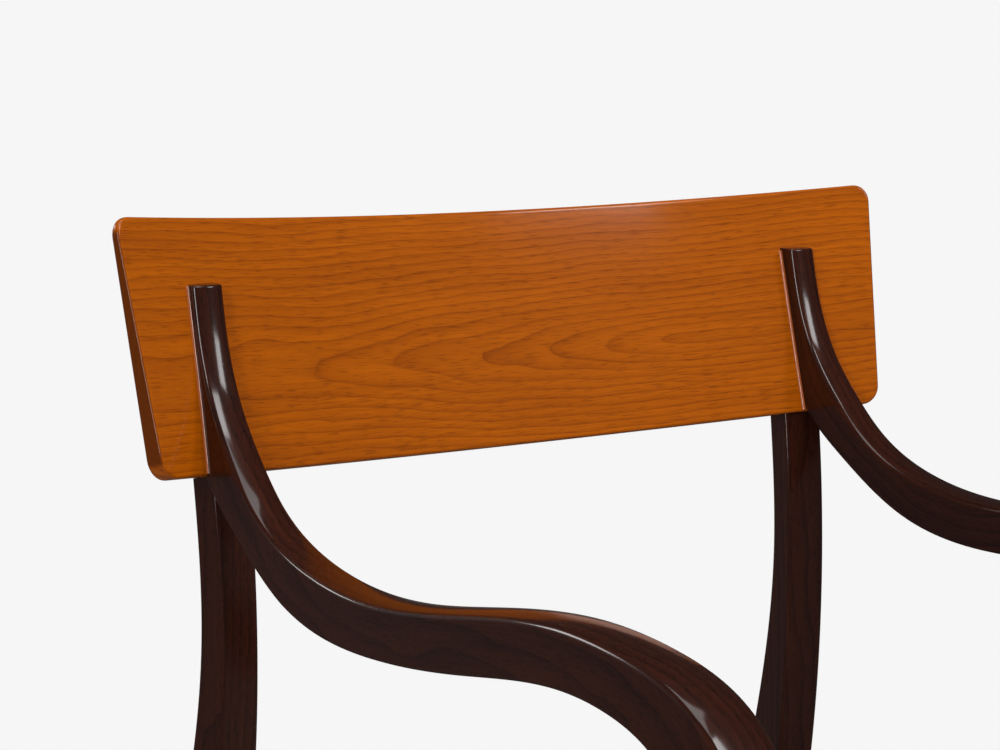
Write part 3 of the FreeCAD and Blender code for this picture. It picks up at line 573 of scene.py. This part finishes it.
# places along the top and the underside, forwards and up from the middle of the panel's lower edge
arm_upper = [(arm_tip_front, arm_top_height + arm_tip_proud), (0.040 * arm_reach, 0.71 * arm_top_height),
             (0.067 * arm_reach, 0.41 * arm_top_height), (0.108 * arm_reach, 0.15 * arm_top_height),
             (0.156 * arm_reach, -0.20 * arm_dip), (0.283 * arm_reach, -0.88 * arm_dip),
             (0.422 * arm_reach, -arm_dip), (0.559 * arm_reach, -0.80 * arm_dip),
             (0.698 * arm_reach, -arm_rise), (0.834 * arm_reach, -1.22 * arm_rise),
             (0.950 * arm_reach, -2.25 * arm_rise), (arm_reach, -arm_knuckle_drop),
             (0.5 * (arm_reach + foot_front) + 0.32 * arm_foot_depth, -neck),
             (foot_front + 0.16 * arm_foot_depth, -arm_shoulder + 0.58 * arm_foot_depth),
             (foot_front, -arm_shoulder - 0.10 * arm_foot_depth), (foot_front, -foot_end)]
arm_under = [(arm_tip_back, arm_top_height + arm_tip_proud + 0.0005),
             (0.002 * arm_reach, 0.68 * arm_top_height), (0.020 * arm_reach, 0.36 * arm_top_height),
             (0.060 * arm_reach, 0.03 * arm_top_height), (0.112 * arm_reach, -0.29 * dip_under),
             (0.222 * arm_reach, -0.80 * dip_under), (0.415 * arm_reach, -dip_under),
             (0.570 * arm_reach, -0.90 * dip_under), (0.717 * arm_reach, -rise_under),
             (0.808 * arm_reach, -1.07 * rise_under), (0.893 * arm_reach, -1.42 * rise_under),
             (front_under, -arm_knuckle_drop - 0.14 * arm_knuckle_depth),
             (0.5 * (front_under + foot_back) + 0.26 * arm_foot_depth, -neck + 0.42 * arm_foot_depth),
             (foot_back + 0.26 * arm_foot_depth, -arm_shoulder + 0.90 * arm_foot_depth),
             (foot_back + 0.03 * arm_foot_depth, -arm_shoulder - 0.05 * arm_foot_depth),
             (foot_back, -foot_end)]


def arm_profile():
    """Places round one section, as five rows: share of the half width, inset from the side, share
    of the depth, step added to it, and share of the crown. Quarter turns ease all four edges."""
    turn = np.linspace(0, math.pi / 2, 6)
    crease = np.linspace(0, math.pi / 2, 8)
    over = np.linspace(1, -1, 19)[1:-1]
    share, inset, deep, step, crown = [], [], [], [], []

    def add(values):
        for store, value in zip((share, inset, deep, step, crown), np.broadcast_arrays(*values)):
            store.append(np.ravel(value))

    for side in (1, -1):
        low = (side * np.ones(6), arm_under_ease * (1 - np.sin(turn)), 0,
               arm_under_ease * (1 - np.cos(turn)), 0)
        flat = (side * np.ones(2), 0, np.array([0, 1]), np.array([arm_under_ease, -arm_crease])
                + np.array([support, -support]), 0)
        high = (side * np.ones(8), arm_crease * (1 - np.cos(crease)), 1,
                arm_crease * (np.sin(crease) - 1), np.sin(crease))
        parts = [low, flat, high]
        if side == 1:
            for part in parts:
                add(part)
            add((over, arm_crease * np.ones(len(over)), 1, 0, 1))
        else:
            for part in parts[::-1]:
                add([np.broadcast_arrays(*part)[k][::-1] for k in range(5)])
            add((np.linspace(-1, 1, 7)[1:-1], arm_under_ease, 0, 0, 0))
    return [np.concatenate(store) for store in (share, inset, deep, step, crown)]


stations = np.linspace(0, len(arm_upper) - 1, 241)
top = smooth_curve(arm_upper, stations)
under = smooth_curve(arm_under, stations)
reach = (top[:, 0] + under[:, 0]) / 2
foot_share = np.clip((stations - (len(arm_upper) - 5)) / 4, 0, 1)
inner = arm_inner_start + arm_inner_flare * reach
inner = inner - foot_share * (inner - frame_outer_half + arm_foot_lap)
outer = arm_outer_start + arm_outer_flare * reach - arm_foot_thinning * foot_share
up = top - under
depth = np.linalg.norm(up, axis=1)
up = up / depth[:, None]
share, inset, deep, step, crown = arm_profile()
half = ((outer - inner) / 2)[:, None]
aside = share * (half - inset)
bulge = crown * arm_crown_share * 2 * half * (1 - (aside / half) ** 2)
rise = deep * depth[:, None] + step + bulge
arm_points = np.stack([((outer + inner) / 2)[:, None] + aside,
                       -(under[:, None, 0] + up[:, None, 0] * rise),
                       panel_bottom_height + under[:, None, 1] + up[:, None, 1] * rise], -1)
# both ends are eased by a quarter turn: four extra rings sink and draw in, and one stands behind
drawn = []
for end, next_ring in ((0, 1), (-1, -2)):
    ring = arm_points[end]
    along_arm = (ring - arm_points[next_ring]).mean(0)
    along_arm /= np.linalg.norm(along_arm)
    spread = ring - ring.mean(0)
    inwards = spread / np.linalg.norm(spread, axis=1, keepdims=True)
    rings = [ring - along_arm * (arm_end_ease + support)]
    for turn in np.linspace(0, math.pi / 2, 5):
        rings.append(ring - along_arm * arm_end_ease * (1 - math.sin(turn))
                     - inwards * arm_end_ease * (1 - math.cos(turn)))
    drawn.append(np.array(rings))
arm_points = np.concatenate([drawn[0][::-1], arm_points[2:-2], drawn[1]])
# the upper end is scribed: whatever lies behind the panel's face is drawn forward on to it
axis = np.array([0, math.sin(panel_recline), math.cos(panel_recline)])
axis_foot = np.array([0, -panel_radius * math.cos(panel_recline),
                      panel_bottom_height + panel_radius * math.sin(panel_recline)])
offset = arm_points - axis_foot
lift = offset @ axis
level_out = offset[..., 1] * math.cos(panel_recline) - offset[..., 2] * math.sin(panel_recline)
face_out = np.sqrt((panel_radius + scribe_gap) ** 2 - arm_points[..., 0] ** 2)
too_deep = (lift > 0) & (level_out > face_out)
arm_points[..., 1] -= np.where(too_deep, (level_out - face_out) / math.cos(panel_recline), 0)
# the foot laps over the rail: what would lie inside the rail is drawn out to its face
rail_face = frame_outer_half + lap_gap
lapped = (arm_points[..., 2] < rail_top) & (arm_points[..., 0] < rail_face)
arm_points[..., 0] = np.where(lapped, rail_face, arm_points[..., 0])
steps = np.linalg.norm(np.diff((top + under) / 2, axis=0), axis=1)
walked = np.concatenate([[0], np.cumsum(steps)])
arm_grain = np.stack([walked[:, None] + 0 * rise + 3.0, rise, aside], -1)
arm_grain = np.concatenate([np.repeat(arm_grain[:1], 6, 0), arm_grain[2:-2],
                            np.repeat(arm_grain[-1:], 6, 0)])
both_sides("scroll_arm", arm_points.reshape(-1, 3), skin(*arm_points.shape[:2]), arm_grain.reshape(-1, 3),
           "arm", mahogany)

# Lacquer fillets. The panel was finished with the arms in place, so a thin bead of lacquer lies along
# both sides of each arm, and its hollow catches the lamps' light. Its paler, pinker colour is painted sheen.
bead_radius = 0.0018
bead_start, bead_end = 0.0012, 0.1105
bead_sunk = 0.0003


def two_tones(tree, amount, dark, light, start=0.0, end=1.0):
    """Colour that goes from dark to light as the amount goes from start to end."""
    ramp = add_node(tree, "ShaderNodeValToRGB", {"Fac": amount})
    for stop, place, colour in zip(ramp.color_ramp.elements, (start, end), (dark, light)):
        stop.position = place
        stop.color = (*colour, 1)
    return ramp.outputs["Color"]


bead, tree, shader = new_material("lacquer bead with painted sheen")
field = add_node(tree, "ShaderNodeAttribute", attribute_name="grain")
# painted sheen: the bead's colour, paler and pinker than the panel, stands in for a soft reflection; noise
# varies it at random between two such tones
painted_sheen_tone = stretched_noise(tree, field.outputs["Vector"], (420.0, 420.0, 420.0), detail=3.0)
tree.links.new(two_tones(tree, painted_sheen_tone, (0.27, 0.058, 0.010), (0.48, 0.130, 0.040)), shader.inputs["Base Color"])
shader.inputs["Roughness"].default_value = 0.30
shader.inputs["Coat Weight"].default_value = 0.7
shader.inputs["Coat Roughness"].default_value = 0.12
up_slope = np.linspace(bead_start, bead_end, 60)
# an arm's sides cross the panel's face where the arm's under line runs at it or behind it; the
# stations far in front of the face are left out
under_line = np.stack([0 * reach, -under[:, 0], panel_bottom_height + under[:, 1]], -1) - axis_foot
crossing = under_line @ axis
near_face = np.linalg.norm(under_line - crossing[:, None] * axis, axis=1) > 0.93 * panel_radius
order = np.argsort(crossing[near_face])
hollow = np.linspace(0, math.pi / 2, 8)
for label, face_x, outwards in (("inner", inner, -1), ("outer", outer, 1)):
    side_x = np.interp(up_slope, crossing[near_face][order], face_x[near_face][order])
    corner = panel_radius * np.arcsin(side_x / panel_radius)
    beside = np.concatenate([bead_radius * (1 - np.sin(hollow)) - 0.0001, [-0.0008]])
    proud = np.concatenate([bead_radius * (1 - np.cos(hollow)), [-bead_sunk]])
    proud[0] = -0.0002
    wide = corner[:, None] + outwards * beside
    high = up_slope[:, None] + 0 * wide
    places = panel_place(wide, high, -proud + 0 * wide)
    faces = skin(*wide.shape)
    if outwards > 0:
        faces = [face[::-1] for face in faces]
    grain = np.stack([high, wide, proud + 0 * wide], -1).reshape(-1, 3)
    for side, name in ((1, "right"), (-1, "left")):
        make_piece(f"lacquer_bead_{label}_{name}", places.reshape(-1, 3) * np.array([side, 1, 1]) + shift,
                   faces if side > 0 else [face[::-1] for face in faces], grain, [], bead)

# Plugs. Four small walnut discs close the screw holes in the panel's back. They are glued in and
# pared flush, each with its grain a little askew.
plug_across = 0.238
plug_radii = np.array([0.0050, 0.0049, 0.0046, 0.0032, 0.0016, 0.0001])[:, None]
plug_lifts = np.array([-0.0006, 0.00005, 0.00012, 0.00016, 0.00018, 0.00018])[:, None]
once_round = np.linspace(0, 2 * math.pi, 33)[:-1]
for side, label in ((1, "right"), (-1, "left")):
    for index, (plug_slant, spin) in enumerate(((0.034, 0.4), (0.088, 1.9))):
        wide = plug_radii * np.cos(once_round)
        high = plug_radii * np.sin(once_round)
        thick = panel_thickness(plug_slant + high)
        places = panel_place(side * plug_across + wide, plug_slant + high, thick + plug_lifts)
        turned = np.stack([math.cos(spin) * wide - math.sin(spin) * high,
                           math.sin(spin) * wide + math.cos(spin) * high, 0 * wide + 0.02 * index], -1)
        faces = [face[::-1] for face in skin(*wide.shape)]
        make_piece(f"screw_plug_{label}_{index}", places.reshape(-1, 3) + shift, faces,
                   turned.reshape(-1, 3), ["arm_top_plugs"], walnut)

# Seat frame's inside. Beech corner blocks are screwed across the corners, and zinc-plated wood
# screws hold the blocks, the seat and the arms.
block_wood = wood_material(
    "planed beech",
    ((0.620, 0.420, 0.260), (0.560, 0.360, 0.210), (0.480, 0.290, 0.160), (0.330, 0.190, 0.100)),
    {"Pith Across": 0.4, "Pith Depth": 0.2, "Pith Slope": 0.05, "Ring Width": 0.004, "Waviness": 0.003,
     "Pore Length": 0.004, "Pore Amount": 0.55}, (0.18, 0.35), 0.62, 0.0, 0.3)


def on_object(material, offset, turn=(0, 0, 0)):
    """Let a wood material read the piece's own place in the chair instead of a grain attribute."""
    tree = material.node_tree
    place = add_node(tree, "ShaderNodeTexCoord")
    turned = add_node(tree, "ShaderNodeMapping", {"Vector": place.outputs["Object"], "Location": offset,
                                                  "Rotation": turn})
    for node in tree.nodes:
        if node.type == "GROUP":
            tree.links.new(turned.outputs[0], node.inputs["Grain"])
    return material


def dress(names, material):
    """Give plain CAD nodes their material; their meshes stay as they are."""
    for name in names:
        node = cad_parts[name]
        node.data.materials.clear()
        node.data.materials.append(material)


on_object(block_wood, (0.02, 0.01, 0.03), (0, 0, math.radians(45)))
zinc, tree, shader = new_material("zinc plated steel")
place = add_node(tree, "ShaderNodeTexCoord")
cloudy = stretched_noise(tree, place.outputs["Object"], (900.0, 900.0, 900.0), detail=3.0)
tree.links.new(two_tones(tree, cloudy, (0.42, 0.41, 0.37), (0.68, 0.67, 0.62)), shader.inputs["Base Color"])
shader.inputs["Metallic"].default_value = 1.0
shader.inputs["Roughness"].default_value = 0.38
dress(["corner_block_" + corner for corner in ("front_right", "front_left", "rear_right", "rear_left")],
      block_wood)
dress(("corner_block_screws", "seat_screws", "arm_top_screws", "arm_foot_screws"), zinc)

# Seat. A drop-in seat: birch plywood board, a foam pad crowned by hand, a tight cover of dark
# woven cloth pulled over the edges, and a thin black dust cloth tacked underneath. The cushion
# here is pad and cover in one.
seat_top_limit = rail_top + 0.038
cover_thickness = 0.0012
cushion_side = 0.012
cushion_held = 0.003
bulge_cap = 0.0035
thread_pitch = 0.0016
cushion_voxel = 0.005
cloth_pressure = 4.0
cloth_frames = 20


def weave_material():
    """Plain weave: two sine waves at right angles set which thread is on top, noise drawn out
    along each thread makes slubs, and both feed the colour and the bump."""
    material, tree, shader = new_material("dark wool and linen")
    place = add_node(tree, "ShaderNodeTexCoord")
    axes = add_node(tree, "ShaderNodeSeparateXYZ", {0: place.outputs["Object"]})
    threads = 2 * math.pi / thread_pitch
    warp = add_math(tree, "SINE", add_math(tree, "MULTIPLY", axes.outputs[0], threads))
    downwards = add_math(tree, "ADD", axes.outputs[1], axes.outputs[2])
    weft = add_math(tree, "SINE", add_math(tree, "MULTIPLY", downwards, threads))
    over = add_math(tree, "MULTIPLY", warp, weft)
    mixed = add_math(tree, "ADD", stretched_noise(tree, place.outputs["Object"], (40, 1300, 1300)),
                     stretched_noise(tree, place.outputs["Object"], (1300, 40, 40)))
    tone = add_math(tree, "MULTIPLY_ADD", over, 0.10, add_math(tree, "MULTIPLY", mixed, 0.5))
    cloth = two_tones(tree, tone, (0.016, 0.011, 0.009), (0.085, 0.060, 0.046), 0.30, 0.62)
    tree.links.new(cloth, shader.inputs["Base Color"])
    height = add_math(tree, "MULTIPLY_ADD", mixed, 0.5, over)
    dent = add_node(tree, "ShaderNodeBump", {"Strength": 0.5, "Distance": 0.0003, "Height": height})
    tree.links.new(dent.outputs[0], shader.inputs["Normal"])
    shader.inputs["Roughness"].default_value = 0.85
    shader.inputs["Sheen Weight"].default_value = 0.25
    shader.inputs["Sheen Roughness"].default_value = 0.5
    return material


weave = weave_material()


def inflated_cushion():
    """The foam's shape, remeshed evenly, let out by the cover's thickness, drawn down to the
    rebate's floor and blown up a little as cloth under pressure, with the part inside the frame
    held. No place moves more than the cap."""
    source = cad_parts["seat_foam"].data.copy()
    pad = bpy.data.objects.new("seat_cushion", source)
    bpy.context.scene.collection.objects.link(pad)
    weld = pad.modifiers.new("weld", "WELD")
    weld.merge_threshold = 1e-5
    even = pad.modifiers.new("even", "REMESH")
    even.mode = "VOXEL"
    even.voxel_size = cushion_voxel
    even.use_smooth_shade = True
    graph = bpy.context.evaluated_depsgraph_get()
    mesh = bpy.data.meshes.new_from_object(pad.evaluated_get(graph))
    pad.modifiers.clear()
    pad.data = mesh
    places = np.empty(len(mesh.vertices) * 3)
    mesh.vertices.foreach_get("co", places)
    places = places.reshape(-1, 3)
    outwards = np.empty(len(mesh.vertices) * 3, np.float32)
    mesh.vertex_normals.foreach_get("vector", outwards)
    places = places + cover_thickness * outwards.reshape(-1, 3)
    low, bend = places[:, 2].min(), rail_top + cushion_side
    places[:, 2] = np.where(places[:, 2] < bend,
                            rebate_floor + (places[:, 2] - low) * (bend - rebate_floor) / (bend - low),
                            places[:, 2])
    mesh.vertices.foreach_set("co", places.ravel())
    mesh.update()
    held = pad.vertex_groups.new(name="held")
    held.add(np.flatnonzero(places[:, 2] < rail_top + cushion_held).tolist(), 1.0, "REPLACE")
    cloth = pad.modifiers.new("cloth", "CLOTH")
    cloth.settings.use_pressure = True
    cloth.settings.uniform_pressure_force = cloth_pressure
    cloth.settings.effector_weights.gravity = 0.0
    cloth.settings.vertex_group_mass = "held"
    cloth.settings.tension_stiffness = 25
    cloth.settings.compression_stiffness = 25
    cloth.settings.bending_stiffness = 4
    for step in range(1, cloth_frames + 1):
        bpy.context.scene.frame_set(step)
    graph = bpy.context.evaluated_depsgraph_get()
    blown = bpy.data.meshes.new_from_object(pad.evaluated_get(graph))
    after = np.empty(len(blown.vertices) * 3)
    blown.vertices.foreach_get("co", after)
    moved = after.reshape(-1, 3) - places
    length = np.linalg.norm(moved, axis=1, keepdims=True)
    places = places + moved * np.minimum(1, bulge_cap / np.maximum(length, 1e-9))
    pad.modifiers.clear()
    pad.vertex_groups.clear()
    bpy.context.scene.frame_set(1)
    places[:, 2] = np.minimum(places[:, 2], seat_top_limit)
    bottom = places[:, 2] < rebate_floor + 0.0016
    places[:, 2] = np.where(bottom, rebate_floor - 0.0003, places[:, 2])
    mesh.vertices.foreach_set("co", places.ravel())
    mesh.shade_smooth()
    mesh.update()
    finer = pad.modifiers.new("finer", "SUBSURF")
    finer.levels = finer.render_levels = 1
    mesh.materials.clear()
    mesh.materials.append(weave)
    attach(pad, "root")
    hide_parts("seat_cover", "seat_foam")


inflated_cushion()
plywood = on_object(wood_material(
    "birch plywood",
    ((0.640, 0.470, 0.290), (0.580, 0.400, 0.235), (0.500, 0.330, 0.185), (0.360, 0.220, 0.120)),
    {"Pith Across": 0.2, "Pith Depth": 0.9, "Pith Slope": 0.2, "Ring Width": 0.012, "Waviness": 0.02,
     "Pore Length": 0.006, "Pore Amount": 0.4}, (0.2, 0.3), 0.7, 0.0, 0.3), (0, 0, 0))
cambric, tree, shader = new_material("black dust cloth")
place = add_node(tree, "ShaderNodeTexCoord")
felt = stretched_noise(tree, place.outputs["Object"], (1600.0, 1600.0, 1600.0), detail=4.0)
black = two_tones(tree, felt, (0.006, 0.006, 0.007), (0.035, 0.034, 0.034))
tree.links.new(black, shader.inputs["Base Color"])
dots = add_node(tree, "ShaderNodeTexVoronoi", {"Vector": place.outputs["Object"], "Scale": 700.0})
dent = add_node(tree, "ShaderNodeBump", {"Strength": 0.5, "Distance": 0.0003,
                                         "Height": dots.outputs["Distance"]})
tree.links.new(dent.outputs[0], shader.inputs["Normal"])
shader.inputs["Roughness"].default_value = 0.8
dress(["seat_board"], plywood)
dress(["seat_dust_cover"], cambric)

# Glides. A domed button is pressed from steel and nailed under each foot, to keep its end grain
# off the floor.
steel, tree, shader = new_material("pressed steel")
place = add_node(tree, "ShaderNodeTexCoord")
scuff = stretched_noise(tree, place.outputs["Object"], (500.0, 500.0, 500.0), detail=4.0)
spread = add_node(tree, "ShaderNodeMapRange", {"Value": scuff, "To Min": 0.16, "To Max": 0.42})
tree.links.new(spread.outputs[0], shader.inputs["Roughness"])
tree.links.new(two_tones(tree, scuff, (0.50, 0.50, 0.50), (0.74, 0.74, 0.73)), shader.inputs["Base Color"])
shader.inputs["Metallic"].default_value = 1.0
dress(["foot_glides"], steel)

# Studio. A pale floor runs out to a backdrop of the same tone. A tall narrow lamp stands to the
# left of the camera, two hang in front, one overhead and one behind, and the room mirrors dark.
floor_mesh = bpy.data.meshes.new("studio_floor")
floor_half = 60.0
floor_corners = [(x * floor_half, y * floor_half, 0) for x, y in ((-1, -1), (1, -1), (1, 1), (-1, 1))]
floor_mesh.from_pydata(floor_corners, [], [(0, 1, 2, 3)])
floor = bpy.data.objects.new("studio_floor", floor_mesh)
bpy.context.scene.collection.objects.link(floor)
backdrop_tone = 0.922
paper, tree, shader = new_material("pale paper floor")
place = add_node(tree, "ShaderNodeTexCoord")
flecks = stretched_noise(tree, place.outputs["Object"], (3.0, 3.0, 3.0))
tone = add_node(tree, "ShaderNodeMapRange", {"Value": flecks, "To Min": 0.68, "To Max": 0.72})
pale = add_node(tree, "ShaderNodeCombineColor", {0: tone.outputs[0], 1: tone.outputs[0], 2: tone.outputs[0]})
tree.links.new(pale.outputs[0], shader.inputs["Base Color"])
shader.inputs["Roughness"].default_value = 0.9
shader.inputs["Specular IOR Level"].default_value = 0.0
reach_out = add_node(tree, "ShaderNodeVectorMath", {0: place.outputs["Object"]}, operation="LENGTH")
far_off = add_node(tree, "ShaderNodeMapRange", {"Value": reach_out.outputs["Value"], "From Min": 0.8,
                                                "From Max": 1.9}, interpolation_type="SMOOTHSTEP")
seen = add_node(tree, "ShaderNodeLightPath")
lit = add_node(tree, "ShaderNodeMapRange", {"Value": seen.outputs["Is Camera Ray"], "To Min": 0.10,
                                            "To Max": backdrop_tone})
glow = add_node(tree, "ShaderNodeEmission", {"Color": (1, 1, 1, 1), "Strength": lit.outputs[0]})
away = add_math(tree, "MAXIMUM", far_off.outputs[0], seen.outputs["Is Glossy Ray"])
blend = add_node(tree, "ShaderNodeMixShader", {0: away, 1: shader.outputs[0], 2: glow.outputs[0]})
tree.links.new(blend.outputs[0], tree.nodes["Material Output"].inputs["Surface"])
floor_mesh.materials.append(paper)

world = bpy.data.worlds.new("studio")
bpy.context.scene.world = world
world.use_nodes = True
tree = world.node_tree
sky = tree.nodes["Background"]
place = add_node(tree, "ShaderNodeTexCoord")
axes = add_node(tree, "ShaderNodeSeparateXYZ", {0: place.outputs["Generated"]})
# mirrored, the room is dark, with a dim screen behind the chair on the left; diffuse light is even
screen = add_math(tree, "MULTIPLY_ADD", axes.outputs[0], -0.62,
                  add_math(tree, "MULTIPLY", axes.outputs[1], 0.78))
dim = add_node(tree, "ShaderNodeMapRange", {"Value": screen, "From Min": 0.55, "From Max": 0.98,
                                            "To Min": 0.03, "To Max": 0.22},
               interpolation_type="SMOOTHSTEP")
ray = add_node(tree, "ShaderNodeLightPath")
tone = add_node(tree, "ShaderNodeMix", {"Factor": ray.outputs["Is Diffuse Ray"], "A": dim.outputs[0],
                                        "B": 0.50}, data_type="FLOAT")
tone = add_node(tree, "ShaderNodeMix", {"Factor": ray.outputs["Is Camera Ray"], "A": tone.outputs["Result"],
                                        "B": backdrop_tone}, data_type="FLOAT")
tree.links.new(tone.outputs["Result"], sky.inputs["Strength"])
sky.inputs["Color"].default_value = (1, 1, 1, 1)


def soft_lamp(name, place, target, width, height, power):
    """Rectangular area lamp at a place, facing a target."""
    data = bpy.data.lights.new(name, "AREA")
    data.shape = "RECTANGLE"
    data.size, data.size_y, data.energy = width, height, power
    lamp = bpy.data.objects.new(name, data)
    lamp.location = place
    lamp.rotation_euler = (Vector(target) - Vector(place)).to_track_quat("-Z", "Y").to_euler()
    bpy.context.scene.collection.objects.link(lamp)


soft_lamp("overhead_lamp", (-0.2, -0.2, 2.7), (0, 0, 0.6), 1.2, 1.2, 14)
soft_lamp("key_lamp", (-2.5, -1.7, 1.5), (0, 0, 0.7), 0.5, 1.8, 40)
soft_lamp("front_lamp", (0.2, -1.5, 2.8), (0, 0, 0.7), 0.7, 0.9, 22)
soft_lamp("right_lamp", (1.7, -2.3, 2.3), (0.1, 0, 0.8), 0.6, 1.0, 22)
soft_lamp("back_lamp", (-1.7, 2.5, 2.3), (0, 0, 0.6), 1.0, 0.8, 22)

# Camera, at the photograph's viewing angle. Its directions and place were found from the panel's
# outline and its symmetry, for a focal length of 2.9 frame widths.
camera_right = Vector((0.7873, -0.6166, 0.0))
camera_forward = Vector((0.6124, 0.7820, -0.1154))
camera_place = Vector((-1.1379, -1.4366 + setback, panel_bottom_height + 0.2575))
sensor_width = 36.0
focal_widths = 2.9
camera_data = bpy.data.cameras.new("photo_camera")
camera = bpy.data.objects.new("photo_camera", camera_data)
bpy.context.scene.collection.objects.link(camera)
bpy.context.scene.camera = camera
camera_right.normalize()
camera_forward = (camera_forward - camera_right * camera_forward.dot(camera_right)).normalized()
turn = Matrix((camera_right, camera_right.cross(camera_forward), -camera_forward)).transposed()
camera.matrix_world = Matrix.Translation(camera_place) @ turn.to_4x4()
camera_data.sensor_width = sensor_width
camera_data.lens = sensor_width * focal_widths
camera_data.clip_end = 200.0
bpy.context.scene.view_settings.view_transform = "Standard"
